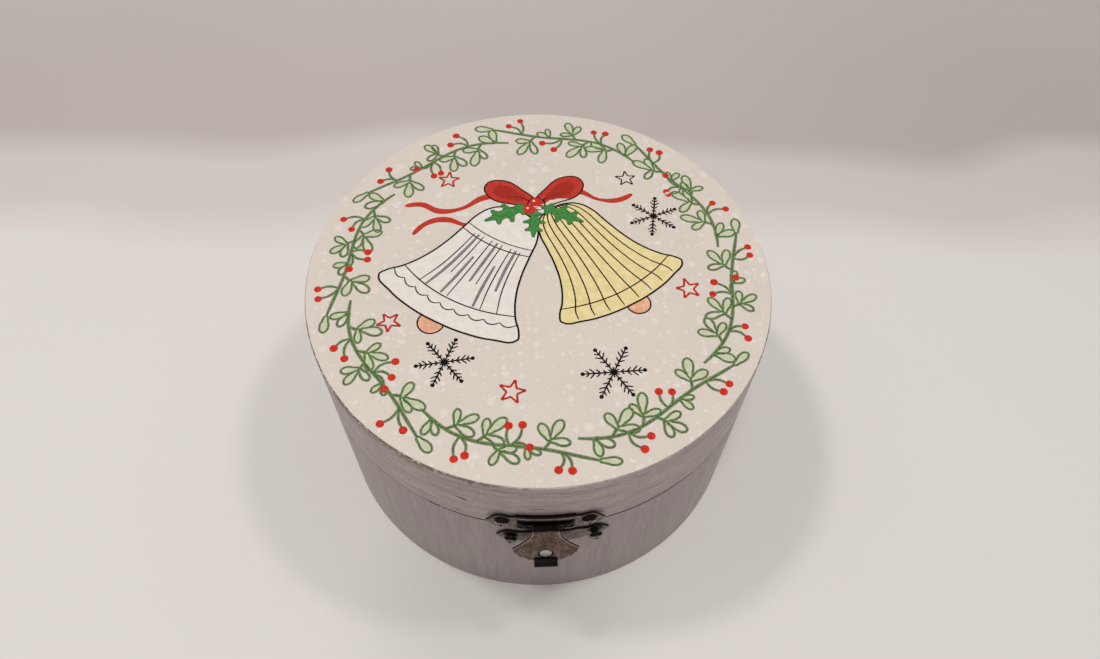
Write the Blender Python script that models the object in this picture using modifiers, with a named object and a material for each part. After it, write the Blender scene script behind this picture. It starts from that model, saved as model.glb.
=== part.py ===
"""Round keepsake box with a flush hinged lid and a fan-shaped hasp.

Units are metres and +Z is up. The box stands on z = 0 with its axis on the Z axis, the hasp
faces -Y and the hinge faces +Y. Fittings are placed by u, the distance along the outer wall
from the middle of the front, by the height above the seam, and by how far they stand out.
"""

import math

import bmesh
import bpy
from mathutils import Matrix, Vector

# Box: rings of bent wood closed by glued discs
BOX_RADIUS = 0.0700
BOX_HEIGHT = 0.0800
LID_HEIGHT = 0.0257
WALL = 0.0045
BOTTOM_THICKNESS = 0.0040
TOP_THICKNESS = 0.0030
PAPER_THICKNESS = 0.0003
PAPER_MARGIN = 0.0004
SEAM_GAP = 0.0003
GLUE_GAP = 0.0002
EDGE_BREAK = 0.0004
RING_SIDES = 96

# Sheet fittings at the front
SHEET = 0.0006
PLATE_GAP = 0.0002

# Clasp plate on the lid, with a window crossed by the bar that carries the hasp
CLASP_WIDTH = 0.0334
CLASP_EAR_HEIGHT = 0.0082
CLASP_TOP = 0.0047
CLASP_FOOT = 0.0036
CLASP_LIFT = 0.0034
CLASP_SCREW_INSET = 0.0046
CLASP_RAISE = 0.0005
RAISE_REACH = 0.0096
RAISE_RAMP = 0.0030
TIP_SPRING = 0.0004
WINDOW_WIDTH = 0.0156
WINDOW_HEIGHT = 0.0054
BAR_HEIGHT = 0.0015
BAR_LIFT = 0.0001
BAR_RAMP = 0.0034

# Hasp: a flat blank, curled round the bar at its neck and into a finger lip at its foot
HASP_SHEET = 0.0005
BAR_PLAY = 0.00012
CURL_WALL_GAP = 0.0006
CURL_TURN = math.radians(285)
HASP_LEAN = math.radians(8)
NECK_WIDTH = 0.0075
NECK_LENGTH = 0.0008
FAN_WIDTH = 0.0190
FAN_CORNER = 0.0091
FAN_LENGTH = 0.0167
LOBES_PER_SIDE = 3
LOBE_BULGE = 0.0004
HOLE_RADIUS = 0.00195
HOLE_DROP = 0.0121
LIP_WIDTH = 0.0068
LIP_RADIUS = 0.00145
LIP_DROP = 0.0154
LIP_TURN = math.radians(280)

# Catch plate on the body, with a raised tongue whose nib stands in the hole of the hasp
CATCH_WIDTH = 0.0328
CATCH_EAR_HEIGHT = 0.0071
CATCH_MIDDLE_HEIGHT = 0.0074
CATCH_DROP = 0.0069
CATCH_SHIFT = 0.0022
CATCH_TILT = math.radians(1.9)
CATCH_SCREW_INSET = 0.0044
TONGUE_WIDTH = 0.0062
TONGUE_SLIT = 0.0006
TONGUE_ROOT = 0.0006
TONGUE_FLAT = 0.0021
TONGUE_GAP = 0.0003
NIB_PLAY = 0.0002
NIB_PROUD = 0.0002
NIB_EDGE = 0.0003

# Screws with a round, cross-slotted head
SCREW_RADIUS = 0.0011
SCREW_LENGTH = 0.0046
SCREW_HOLE_DEPTH = 0.0040
SCREW_PLAY = 0.00015
HEAD_RADIUS = 0.0021
HEAD_HEIGHT = 0.0012
CLASP_SCREWS_PROUD = (0.0001, 0.0001)
CATCH_SCREWS_PROUD = (0.0007, 0.0013)

# Butt hinge at the back, on a flat planed across both walls
HINGE_WIDTH = 0.0240
LEAF_HEIGHT = 0.0085
LEAF_SHEET = 0.0006
LEAF_CORNER = 0.0012
KNUCKLES = 5
KNUCKLE_GAP = 0.00025
KNUCKLE_CLEARANCE = 0.0004
KNUCKLE_TURN = math.radians(290)
PIN_RADIUS = 0.00075
PIN_PLAY = 0.0001
PIN_HEAD_RADIUS = 0.0012
PIN_HEAD_LENGTH = 0.0006
HINGE_SCREW_INSET = 0.0045
HINGE_SCREW_DROP = 0.0053
HINGE_HEAD_RADIUS = 0.0017
HINGE_HEAD_HEIGHT = 0.0008
HINGE_SCREW_RADIUS = 0.0009
HINGE_SCREW_LENGTH = 0.0030
SEAT_MARGIN = 0.0003

# Worked out from the sizes above
SEAM_Z = BOX_HEIGHT - LID_HEIGHT
BAR_Z = CLASP_LIFT + BAR_LIFT
CLASP_SCREW_SPREAD = CLASP_WIDTH - 2 * CLASP_SCREW_INSET
CATCH_SCREW_SPREAD = CATCH_WIDTH - 2 * CATCH_SCREW_INSET
HINGE_SCREW_SPREAD = HINGE_WIDTH - 2 * HINGE_SCREW_INSET
CURL_INNER = math.hypot(BAR_HEIGHT / 2, SHEET / 2) + BAR_PLAY
CURL_MIDDLE = CURL_INNER + HASP_SHEET / 2
BAR_OUT = CURL_WALL_GAP + CURL_INNER + HASP_SHEET
PLATE_MIDDLE = BOX_RADIUS + PLATE_GAP + SHEET / 2
NIB_RADIUS = HOLE_RADIUS - NIB_PLAY
SCREW_HOLE = SCREW_RADIUS + SCREW_PLAY
HINGE_SCREW_HOLE = HINGE_SCREW_RADIUS + SCREW_PLAY
SEAT_HALF_WIDTH = HINGE_WIDTH / 2 + PIN_HEAD_LENGTH + SEAT_MARGIN
SEAT_Y = math.sqrt(BOX_RADIUS**2 - SEAT_HALF_WIDTH**2)
BORE_RADIUS = PIN_RADIUS + PIN_PLAY
KNUCKLE_RADIUS = BORE_RADIUS + LEAF_SHEET
HINGE_AXIS_Y = SEAT_Y + PLATE_GAP + KNUCKLE_RADIUS
TINY = 1e-6

BRONZE = ((0.115, 0.082, 0.058, 1), 0.42, 1.0)
PAINT = ((0.335, 0.290, 0.292, 1), 0.55, 0.25)
PAPER = ((0.700, 0.630, 0.570, 1), 0.70, 0.0)


def start_scene():
    """Empty the scene and make the collections for the box and for its cutters."""
    for old in list(bpy.data.objects):
        bpy.data.objects.remove(old, do_unlink=True)
    parts = bpy.data.collections.new("round_box")
    cutters = bpy.data.collections.new("cutters")
    bpy.context.scene.collection.children.link(parts)
    bpy.context.scene.collection.children.link(cutters)
    return parts, cutters


PARTS, CUTTERS = start_scene()


def add_object(name, data, collection=PARTS):
    made = bpy.data.objects.new(name, data)
    collection.objects.link(made)
    return made


def finish(made, look):
    """Give the object its own material and smooth shading with crisp edges."""
    colour, roughness, metallic = look
    material = bpy.data.materials.new(made.name)
    material.use_nodes = True
    shader = material.node_tree.nodes["Principled BSDF"]
    shader.inputs["Base Color"].default_value = colour
    shader.inputs["Roughness"].default_value = roughness
    shader.inputs["Metallic"].default_value = metallic
    made.data.materials.clear()
    made.data.materials.append(material)
    made.data.shade_smooth()
    made.data.set_sharp_from_angle(angle=math.radians(32))
    return made


def applied(made):
    """Return the object's evaluated mesh, closed up, as a new mesh."""
    bpy.context.view_layer.update()
    evaluated = made.evaluated_get(bpy.context.evaluated_depsgraph_get())
    mesh = bpy.data.meshes.new_from_object(evaluated)
    edited = bmesh.new()
    edited.from_mesh(mesh)
    bmesh.ops.remove_doubles(edited, verts=edited.verts, dist=TINY)
    bmesh.ops.recalc_face_normals(edited, faces=edited.faces)
    edited.to_mesh(mesh)
    edited.free()
    return mesh


def turned(name, profile, sides, closed=False):
    """Turn a profile of (radius, height) points about Z. A closed profile makes a ring."""
    outline = bpy.data.meshes.new(name)
    edges = [(i, i + 1) for i in range(len(profile) - 1)]
    if closed:
        edges.append((len(profile) - 1, 0))
    outline.from_pydata([(radius, 0, height) for radius, height in profile], edges, [])
    made = add_object(name, outline)
    screw = made.modifiers.new("turn", "SCREW")
    screw.steps = screw.render_steps = sides
    screw.use_merge_vertices = True
    screw.merge_threshold = TINY
    mesh = applied(made)
    made.modifiers.clear()
    made.data = mesh
    return made


def disc_profile(radius, thickness, edge_break):
    """A disc lying on z = 0 with its two outer edges broken."""
    return [
        (0, thickness),
        (radius - edge_break, thickness),
        (radius, thickness - edge_break),
        (radius, edge_break),
        (radius - edge_break, 0),
        (0, 0),
    ]


def ring_profile(outer, wall, height):
    """A plain ring standing on z = 0, listed down its outer side first."""
    return [(outer, height), (outer, 0), (outer - wall, 0), (outer - wall, height)]


def cut(target, cutter, operation="DIFFERENCE"):
    """Cut the target with another object, which is kept as a hidden guide."""
    cutter.hide_render = True
    cutter.display_type = "WIRE"
    for collection in list(cutter.users_collection):
        collection.objects.unlink(cutter)
    CUTTERS.objects.link(cutter)
    boolean = target.modifiers.new(cutter.name, "BOOLEAN")
    boolean.operation = operation
    boolean.solver = "EXACT"
    boolean.object = cutter


def out_of_wall(u):
    """Rotation that turns local +Z straight out of the round wall at the distance u."""
    return (math.pi / 2, 0, u / BOX_RADIUS)


def on_wall(u, height, out):
    """World place at the distance u round the front, above the seam, and out of the wall."""
    angle = u / BOX_RADIUS
    radius = BOX_RADIUS + out
    return Vector((radius * math.sin(angle), -radius * math.cos(angle), SEAM_Z + height))


def outline_spline(curve, points):
    spline = curve.splines.new("POLY")
    spline.points.add(len(points) - 1)
    for point, (u, v) in zip(spline.points, points):
        point.co = (u, v, 0, 1)
    spline.use_cyclic_u = True


def circle_points(u, v, radius, count=20):
    steps = [2 * math.pi * i / count for i in range(count)]
    return [(u + radius * math.cos(a), v + radius * math.sin(a)) for a in steps]


def plane_cuts(mesh, across, along):
    """Split a flat mesh along lines, so that it can bend there."""
    edited = bmesh.new()
    edited.from_mesh(mesh)
    lines = [((u, 0, 0), (1, 0, 0)) for u in across] + [((0, v, 0), (0, 1, 0)) for v in along]
    for place, normal in lines:
        everything = edited.verts[:] + edited.edges[:] + edited.faces[:]
        bmesh.ops.bisect_plane(edited, geom=everything, dist=TINY, plane_co=place, plane_no=normal)
    bmesh.ops.triangulate(edited, faces=edited.faces)
    edited.to_mesh(mesh)
    edited.free()


def sheet_blank(name, outline, holes, thickness, across=(), along=()):
    """Cut a flat blank from sheet: an outline with holes, split where it will be bent."""
    curve = bpy.data.curves.new(name, "CURVE")
    curve.dimensions = "2D"
    curve.fill_mode = "BOTH"
    curve.extrude = thickness / 2
    for points in [outline] + holes:
        outline_spline(curve, points)
    drawn = add_object(name + "_drawn", curve)
    mesh = applied(drawn)
    bpy.data.objects.remove(drawn, do_unlink=True)
    plane_cuts(mesh, across, along)
    return add_object(name, mesh)


def bend(made, shape):
    """Move each vertex of a flat blank to where shape(u, v, t) says. t is the height in the sheet."""
    for vertex in made.data.vertices:
        vertex.co = shape(*vertex.co)
    edited = bmesh.new()
    edited.from_mesh(made.data)
    bmesh.ops.recalc_face_normals(edited, faces=edited.faces)
    edited.to_mesh(made.data)
    edited.free()


def steps_between(first, last, count):
    return [first + (last - first) * i / count for i in range(count + 1)]


def smooth_step(value):
    value = min(max(value, 0), 1)
    return value * value * (3 - 2 * value)


def wrapped(u, v, t):
    """Wrap a blank round the outer wall, a small gap away. v is the height above the seam."""
    angle = u / BOX_RADIUS
    radius = PLATE_MIDDLE + t
    return Vector((radius * math.sin(angle), -radius * math.cos(angle), v))


def flowing(points, steps=4):
    """Draw a smooth line through the points."""
    points = [Vector(point) for point in points]
    padded = [points[0]] + points + [points[-1]]
    line = []
    for before, first, last, after in zip(padded, padded[1:], padded[2:], padded[3:]):
        for share in steps_between(0, 1, steps)[:-1]:
            pull = (last - before) * share + (2 * before - 5 * first + 4 * last - after) * share**2
            pull += (3 * first - before - 3 * last + after) * share**3
            line.append(tuple(first + pull / 2))
    return line + [tuple(points[-1])]


def ear_edge(width, ear, middle, screw_spread):
    """One edge of a plate, from its middle over the waist and the ear to the pointed tip."""
    screw = screw_spread / 2
    point = width / 2 - screw
    waist = min(middle, ear) * 0.84
    return flowing([
        (screw * 0.56, middle),
        (screw * 0.68, (middle * 2 + waist) / 3),
        (screw * 0.80, waist),
        (screw * 0.94, (waist + ear * 2) / 3),
        (screw + point * 0.12, ear),
        (screw + point * 0.34, ear * 0.90),
        (screw + point * 0.62, ear * 0.55),
        (screw + point * 0.84, ear * 0.22),
        (width / 2, 0),
    ])


def eared_outline(width, ear_height, top, foot, screw_spread):
    """Right half, from the middle of the top round to the middle of the foot, of a plate whose
    ends are pointed ears round the screw holes. Top and foot count from the line of the ears."""
    over = ear_edge(width, ear_height / 2, top, screw_spread)
    under = ear_edge(width, ear_height / 2, foot, screw_spread)
    return over + [(u, -v) for u, v in reversed(under[:-1])]


def mirrored(half):
    """Close a right half outline with its mirror image."""
    return half + [(-u, v) for u, v in reversed(half)]


# Round-head screws, one mesh copied to each place
def screw_mesh(name, shank, length, head, head_height, sides=24):
    """A screw whose head rests on z = 0 with the shank below, and a cross slot in the head."""
    quarter = steps_between(0, math.pi / 2, 6)
    dome = [(head * math.sin(a), head_height * math.cos(a)) for a in quarter]
    foot = [(shank, 0), (shank, -length + shank), (0, -length)]
    made = turned(name, dome + foot, sides)
    arm = head * 0.62
    slot = head * 0.13
    corner = [(arm, slot), (slot, slot), (slot, arm)]
    cross = []
    for arm_index in range(4):
        turn = Matrix.Rotation(arm_index * math.pi / 2, 2)
        cross += [tuple(turn @ Vector(point)) for point in corner]
    cutter = sheet_blank(name + "_cross", cross, [], head_height)
    cutter.location = (0, 0, head_height)
    cut(made, cutter)
    mesh = applied(made)
    bpy.data.objects.remove(made, do_unlink=True)
    bpy.data.objects.remove(cutter, do_unlink=True)
    return mesh


def place_screw(name, mesh, place, rotation):
    made = add_object(name, mesh.copy())
    made.location = place
    made.rotation_euler = rotation
    return finish(made, BRONZE)


def drill(wall, name, place, rotation, radius, depth):
    """Drill a blind hole into a wall. The place is on its surface, local +Z points out of it."""
    lead = 0.001
    bpy.ops.mesh.primitive_cylinder_add(vertices=16, radius=radius, depth=depth + lead)
    cutter = bpy.context.active_object
    cutter.name = name
    turn = Matrix.Translation(place) @ rotation_matrix(rotation)
    cutter.matrix_world = turn @ Matrix.Translation((0, 0, (lead - depth) / 2))
    cut(wall, cutter)


def rotation_matrix(angles):
    about_z = Matrix.Rotation(angles[2], 4, "Z")
    return about_z @ Matrix.Rotation(angles[0], 4, "X")


# Wooden body and lid
def make_box_shells():
    bottom = turned("bottom_panel", disc_profile(BOX_RADIUS, BOTTOM_THICKNESS, EDGE_BREAK), RING_SIDES)
    finish(bottom, PAINT)

    body_foot = BOTTOM_THICKNESS + GLUE_GAP
    body_height = SEAM_Z - SEAM_GAP / 2 - body_foot
    body = turned("body_wall", ring_profile(BOX_RADIUS, WALL, body_height), RING_SIDES, closed=True)
    body.location.z = body_foot
    finish(body, PAINT)

    top_z = BOX_HEIGHT - PAPER_THICKNESS - GLUE_GAP - TOP_THICKNESS
    lid_foot = SEAM_Z + SEAM_GAP / 2
    lid_height = top_z - GLUE_GAP - lid_foot
    lid = turned("lid_wall", ring_profile(BOX_RADIUS, WALL, lid_height), RING_SIDES, closed=True)
    lid.location.z = lid_foot
    finish(lid, PAINT)

    panel = turned("lid_panel", disc_profile(BOX_RADIUS, TOP_THICKNESS, EDGE_BREAK), RING_SIDES)
    panel.location.z = top_z
    finish(panel, PAINT)

    paper_radius = BOX_RADIUS - EDGE_BREAK - PAPER_MARGIN
    paper = turned("lid_paper", disc_profile(paper_radius, PAPER_THICKNESS, 0.0), RING_SIDES)
    paper.location.z = BOX_HEIGHT - PAPER_THICKNESS
    finish(paper, PAPER)
    return bottom, body, lid, panel, paper


def plane_hinge_seat(wall, name):
    """Plane the flat that the straight hinge leaf lies on."""
    depth = BOX_RADIUS - SEAT_Y
    height = 2 * (LEAF_HEIGHT + SEAT_MARGIN)
    bpy.ops.mesh.primitive_cube_add(size=1, location=(0, SEAT_Y + depth, SEAM_Z))
    cutter = bpy.context.active_object
    cutter.name = name
    cutter.scale = (3 * HINGE_WIDTH, 2 * depth, height)
    cut(wall, cutter)


# Clasp plate, with two slits that leave a bar pushed out between them. Its middle stands off the
# wall to leave room for the curl of the hasp, and its tips spring off beyond the screws.
def make_clasp_plate():
    outline = mirrored(
        eared_outline(CLASP_WIDTH, CLASP_EAR_HEIGHT, CLASP_TOP, CLASP_FOOT, CLASP_SCREW_SPREAD)
    )
    outline = [(u, v + CLASP_LIFT) for u, v in outline]
    half = WINDOW_WIDTH / 2
    holes = [circle_points(s * CLASP_SCREW_SPREAD / 2, CLASP_LIFT, SCREW_HOLE) for s in (-1, 1)]
    for side in (-1, 1):
        near = BAR_Z + side * BAR_HEIGHT / 2
        far = BAR_Z + side * WINDOW_HEIGHT / 2
        holes.append([(-half, near), (half, near), (half, far), (-half, far)])
    reach = CLASP_WIDTH / 2
    ramp = [s * (half - BAR_RAMP * i / 6) for s in (-1, 1) for i in range(7)]
    across = sorted(steps_between(-reach, reach, 34)[1:-1] + ramp)
    along = [BAR_Z - BAR_HEIGHT / 2, BAR_Z + BAR_HEIGHT / 2]
    made = sheet_blank("clasp_plate", outline, holes, SHEET, across, along)
    screw = CLASP_SCREW_SPREAD / 2

    def shape(u, v, t):
        raised = CLASP_RAISE * smooth_step((RAISE_REACH - abs(u)) / RAISE_RAMP)
        sprung = TIP_SPRING * smooth_step((abs(u) - screw) / (reach - screw))
        place = wrapped(u, v, t + raised + sprung)
        if abs(v - BAR_Z) < BAR_HEIGHT / 2 + TINY and abs(u) < half:
            straight = Vector((u, -(BOX_RADIUS + BAR_OUT + t), v))
            place = place.lerp(straight, smooth_step((half - abs(u)) / BAR_RAMP))
        return place

    bend(made, shape)
    made.location.z = SEAM_Z
    return finish(made, BRONZE)


# Hasp: flat fan, bent round the bar at the top and rolled into a lip at the foot
def fan_edge():
    """Right edge of the blank: the flare from neck to corner, then the scalloped arc."""
    neck = NECK_WIDTH / 2
    corner = FAN_WIDTH / 2
    start = Vector((neck, -NECK_LENGTH))
    pull = Vector((neck * 1.05, -FAN_CORNER * 0.42))
    end = Vector((corner, -FAN_CORNER))
    flare = []
    for share in steps_between(0, 1, 10)[:-1]:
        flare.append((1 - share) ** 2 * start + 2 * share * (1 - share) * pull + share**2 * end)
    centre = (FAN_LENGTH**2 - corner**2 - FAN_CORNER**2) / (2 * (FAN_LENGTH - FAN_CORNER))
    radius = FAN_LENGTH - centre
    first = math.atan2(corner, FAN_CORNER - centre)
    last = math.asin(LIP_WIDTH / 2 / radius)
    per_lobe = 6
    scallops = []
    for i, angle in enumerate(steps_between(first, last, LOBES_PER_SIDE * per_lobe)):
        bulge = LOBE_BULGE * math.sin(math.pi * (i % per_lobe) / per_lobe)
        reach = radius + bulge
        scallops.append(Vector((reach * math.sin(angle), -centre - reach * math.cos(angle))))
    return [tuple(point) for point in flare + scallops]


def make_hasp_flap():
    """The blank's v is 0 level with the bar and falls down the flap. The object's origin is on
    the bar, and it leans so that the fan rests over the catch."""
    neck = NECK_WIDTH / 2
    curl_length = CURL_TURN * CURL_MIDDLE
    lip_middle = LIP_RADIUS - HASP_SHEET / 2
    lip_length = LIP_TURN * lip_middle
    half = [(neck, curl_length)] + fan_edge() + [(LIP_WIDTH / 2, -LIP_DROP - lip_length)]
    hole = circle_points(0, -HOLE_DROP, HOLE_RADIUS, 24)
    along = steps_between(0, curl_length, 20)[:-1]
    along += steps_between(-LIP_DROP, -LIP_DROP - lip_length, 18)[:-1]
    made = sheet_blank("hasp_flap", mirrored(half), [hole], HASP_SHEET, (), along)
    lip = LIP_WIDTH / 2 + TINY

    def shape(u, v, t):
        if v > 0:
            angle = v / CURL_MIDDLE
            radius = CURL_MIDDLE + t
            return Vector((u, -radius * math.cos(angle), radius * math.sin(angle)))
        if v < -LIP_DROP and abs(u) <= lip:
            angle = (-LIP_DROP - v) / lip_middle
            radius = lip_middle - t
            out = CURL_MIDDLE + lip_middle - radius * math.cos(angle)
            return Vector((u, -out, -LIP_DROP - radius * math.sin(angle)))
        return Vector((u, -(CURL_MIDDLE + t), v))

    bend(made, shape)
    made.rotation_euler = (-HASP_LEAN, 0, 0)
    made.location = (0, -(BOX_RADIUS + BAR_OUT), SEAM_Z + BAR_Z)
    return finish(made, BRONZE)


# Catch plate, with a tongue pressed out behind the hasp
def behind_hasp(drop, depth):
    """Out and up, from the seam, of a point at a drop down the hasp and a depth from its bar."""
    out = BAR_OUT + drop * math.sin(HASP_LEAN) + depth * math.cos(HASP_LEAN)
    height = BAR_Z - drop * math.cos(HASP_LEAN) + depth * math.sin(HASP_LEAN)
    return out, height


def make_catch_plate():
    edge_line = CATCH_MIDDLE_HEIGHT / 2
    half = eared_outline(
        CATCH_WIDTH, CATCH_EAR_HEIGHT, edge_line, edge_line, CATCH_SCREW_SPREAD
    )
    turn = Matrix.Rotation(CATCH_TILT, 2)

    def fitted(point):
        u, v = turn @ Vector(point)
        return u + CATCH_SHIFT, v - CATCH_DROP

    front = CURL_INNER - TONGUE_GAP
    middle = front - SHEET / 2
    flat_out, flat_top = behind_hasp(HOLE_DROP - TONGUE_FLAT, middle)
    foot_out, foot = behind_hasp(HOLE_DROP + TONGUE_FLAT, middle)
    root = -CATCH_DROP + CATCH_MIDDLE_HEIGHT / 2 - TONGUE_ROOT
    edge = TONGUE_WIDTH / 2
    slit = edge + TONGUE_SLIT
    plate_foot = -CATCH_DROP - CATCH_MIDDLE_HEIGHT / 2

    right = [fitted(point) for point in half]
    left = [fitted((-u, v)) for u, v in reversed(half)]
    rise = math.tan(CATCH_TILT)
    cheek = [(slit, plate_foot + (slit - CATCH_SHIFT) * rise), (slit, root), (edge, root)]
    cheek += [(edge, foot + 0.001), (edge - 0.001, foot)]
    other = [(-u, v) for u, v in reversed(cheek)]
    other[-1] = (-slit, plate_foot - (slit + CATCH_SHIFT) * rise)
    outline = right + cheek + other + left
    holes = []
    for side in (-1, 1):
        u, v = fitted((side * CATCH_SCREW_SPREAD / 2, 0))
        holes.append(circle_points(u, v, SCREW_HOLE))
    reach = CATCH_WIDTH / 2
    across = [u + CATCH_SHIFT for u in steps_between(-reach, reach, 28)[1:-1]]
    along = steps_between(root, flat_top, 10)
    made = sheet_blank("catch_plate", outline, holes, SHEET, across, along)
    slope = (foot_out - flat_out) / (flat_top - foot)

    def tongue(v):
        """Centre line of the tongue: out of the wall at a height above the seam."""
        raised = flat_out + (flat_top - v) * slope
        share = smooth_step((root - v) / (root - flat_top))
        low = PLATE_GAP + SHEET / 2
        return low + (raised - low) * share

    def shape(u, v, t):
        if abs(u) > edge + TINY or v >= root:
            return wrapped(u, v, t)
        lean = (tongue(v - TINY) - tongue(v + TINY)) / (2 * TINY)
        size = math.hypot(1, lean)
        out = tongue(v) + t / size
        return wrapped(u, v + t * lean / size, out - PLATE_GAP - SHEET / 2)

    bend(made, shape)
    made.location.z = SEAM_Z

    bury = SHEET / 2
    nib_height = TONGUE_GAP + HASP_SHEET + NIB_PROUD
    rim = NIB_RADIUS - NIB_EDGE
    crown = nib_height + bury - NIB_EDGE
    corner = [
        (rim + NIB_EDGE * math.sin(a), crown + NIB_EDGE * math.cos(a))
        for a in steps_between(0, math.pi / 2, 4)
    ]
    top = (0, nib_height + bury)
    nib = turned("catch_nib", [top] + corner + [(NIB_RADIUS, 0), (0, 0)], 32)
    nib_out, nib_height_z = behind_hasp(HOLE_DROP, front - bury)
    nib.location = (0, -(BOX_RADIUS + nib_out), SEAM_Z + nib_height_z)
    nib.rotation_euler = (math.pi / 2 - HASP_LEAN, 0, 0)
    cut(made, nib, "UNION")
    return finish(made, BRONZE), fitted


# Hinge leaves with rolled knuckles, and their pin
def knuckle_span(index):
    """Left and right end of one knuckle along the pin."""
    length = (HINGE_WIDTH - (KNUCKLES - 1) * KNUCKLE_GAP) / KNUCKLES
    left = -HINGE_WIDTH / 2 + index * (length + KNUCKLE_GAP)
    return left, left + length


def make_hinge_leaf(name, up, fingers):
    """The blank's v is 0 level with the pin, negative down the leaf and positive in the roll.
    The object's origin is on the pin."""
    middle = BORE_RADIUS + LEAF_SHEET / 2
    roll = KNUCKLE_TURN * middle
    notch = -(KNUCKLE_RADIUS + KNUCKLE_CLEARANCE)
    side = HINGE_WIDTH / 2
    outline = [
        (side - LEAF_CORNER, -LEAF_HEIGHT),
        (-side + LEAF_CORNER, -LEAF_HEIGHT),
        (-side, -LEAF_HEIGHT + LEAF_CORNER),
    ]
    if 0 not in fingers:
        outline.append((-side, notch))
    for index in fingers:
        left, right = knuckle_span(index)
        corners = [(left, notch), (left, roll), (right, roll), (right, notch)]
        if index == 0:
            corners = corners[1:]
        if index == KNUCKLES - 1:
            corners = corners[:-1]
        outline += corners
    if KNUCKLES - 1 not in fingers:
        outline.append((side, notch))
    outline.append((side, -LEAF_HEIGHT + LEAF_CORNER))
    spread = HINGE_SCREW_SPREAD / 2
    holes = [circle_points(s * spread, -HINGE_SCREW_DROP, HINGE_SCREW_HOLE, 16) for s in (-1, 1)]
    made = sheet_blank(name, outline, holes, LEAF_SHEET, (), steps_between(0, roll, 16)[:-1])

    def shape(u, v, t):
        if v > 0:
            angle = v / middle
            radius = middle - t
            place = (u, -radius * math.cos(angle), radius * math.sin(angle))
        else:
            place = (u, -(middle - t), v)
        return Vector((place[0], place[1], -place[2] * up))

    bend(made, shape)
    made.location = (0, HINGE_AXIS_Y, SEAM_Z)
    return finish(made, BRONZE)


def make_hinge_pin():
    reach = HINGE_WIDTH / 2 + KNUCKLE_GAP
    crown = PIN_HEAD_RADIUS * 0.7
    end = [(0, reach + PIN_HEAD_LENGTH), (crown, reach + PIN_HEAD_LENGTH)]
    end += [(PIN_HEAD_RADIUS, reach + PIN_HEAD_LENGTH * 0.5), (PIN_HEAD_RADIUS, reach), (PIN_RADIUS, reach)]
    made = turned("hinge_pin", end + [(radius, -z) for radius, z in reversed(end)], 16)
    made.rotation_euler = (0, math.pi / 2, 0)
    made.location = (0, HINGE_AXIS_Y, SEAM_Z)
    return finish(made, BRONZE)


def hinge_screws(screw, wall, label, up):
    """Two screws through a leaf into the flat of a wall."""
    rotation = (-math.pi / 2, 0, 0)
    made = []
    for side, word in ((-1, "left"), (1, "right")):
        x = side * HINGE_SCREW_SPREAD / 2
        z = SEAM_Z + up * HINGE_SCREW_DROP
        face = SEAT_Y + PLATE_GAP + LEAF_SHEET + SCREW_PLAY
        name = "hinge_screw_" + label + "_" + word
        made.append(place_screw(name, screw, (x, face, z), rotation))
        place = Vector((x, SEAT_Y, z))
        drill(wall, name + "_hole", place, rotation, HINGE_SCREW_HOLE, HINGE_SCREW_LENGTH)
    return made


def front_screws(screw, wall, label, places, prouds):
    """Two screws through a front plate, straight into the round wall. How far each head stands
    off its plate is given, since they aren't all driven home."""
    made = []
    for word, (u, height), proud in zip(("left", "right"), places, prouds):
        name = label + "_screw_" + word
        out = PLATE_GAP + SHEET + proud
        turn = out_of_wall(u)
        made.append(place_screw(name, screw, on_wall(u, height, out), turn))
        drill(wall, name + "_hole", on_wall(u, height, 0), turn, SCREW_HOLE, SCREW_HOLE_DEPTH)
    return made


def hang(empty_name, place, children):
    """Parent the moving pieces to an empty on their joint's axis."""
    empty = add_object(empty_name, None)
    empty.location = place
    for child in children:
        child.parent = empty
        child.location = child.location - Vector(place)
    return empty


def build():
    bottom, body, lid, panel, paper = make_box_shells()
    plane_hinge_seat(body, "body_hinge_seat")
    plane_hinge_seat(lid, "lid_hinge_seat")

    clasp = make_clasp_plate()
    flap = make_hasp_flap()
    catch, fitted = make_catch_plate()
    lower_leaf = make_hinge_leaf("hinge_leaf_lower", -1, range(0, KNUCKLES, 2))
    upper_leaf = make_hinge_leaf("hinge_leaf_upper", 1, range(1, KNUCKLES, 2))
    pin = make_hinge_pin()

    screw = screw_mesh("round_screw", SCREW_RADIUS, SCREW_LENGTH, HEAD_RADIUS, HEAD_HEIGHT)
    small = screw_mesh(
        "hinge_screw", HINGE_SCREW_RADIUS, HINGE_SCREW_LENGTH, HINGE_HEAD_RADIUS, HINGE_HEAD_HEIGHT
    )
    clasp_places = [(s * CLASP_SCREW_SPREAD / 2, CLASP_LIFT) for s in (-1, 1)]
    catch_places = [fitted((s * CATCH_SCREW_SPREAD / 2, 0)) for s in (-1, 1)]
    clasp_screws = front_screws(screw, lid, "clasp", clasp_places, CLASP_SCREWS_PROUD)
    front_screws(screw, body, "catch", catch_places, CATCH_SCREWS_PROUD)
    hinge_screws(small, body, "lower", -1)
    upper_screws = hinge_screws(small, lid, "upper", 1)

    hinge_axis = (0, HINGE_AXIS_Y, SEAM_Z)
    lid_parts = [lid, panel, paper, clasp, upper_leaf] + clasp_screws + upper_screws
    lid_empty = hang("lid_axis", hinge_axis, lid_parts)
    hasp_empty = hang("hasp_axis", (0, -(BOX_RADIUS + BAR_OUT), SEAM_Z + BAR_Z), [flap])
    hasp_empty.parent = lid_empty
    hasp_empty.location = hasp_empty.location - lid_empty.location


build()
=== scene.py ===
import math
import random

import bmesh
import bpy
from mathutils import Matrix, Vector


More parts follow.
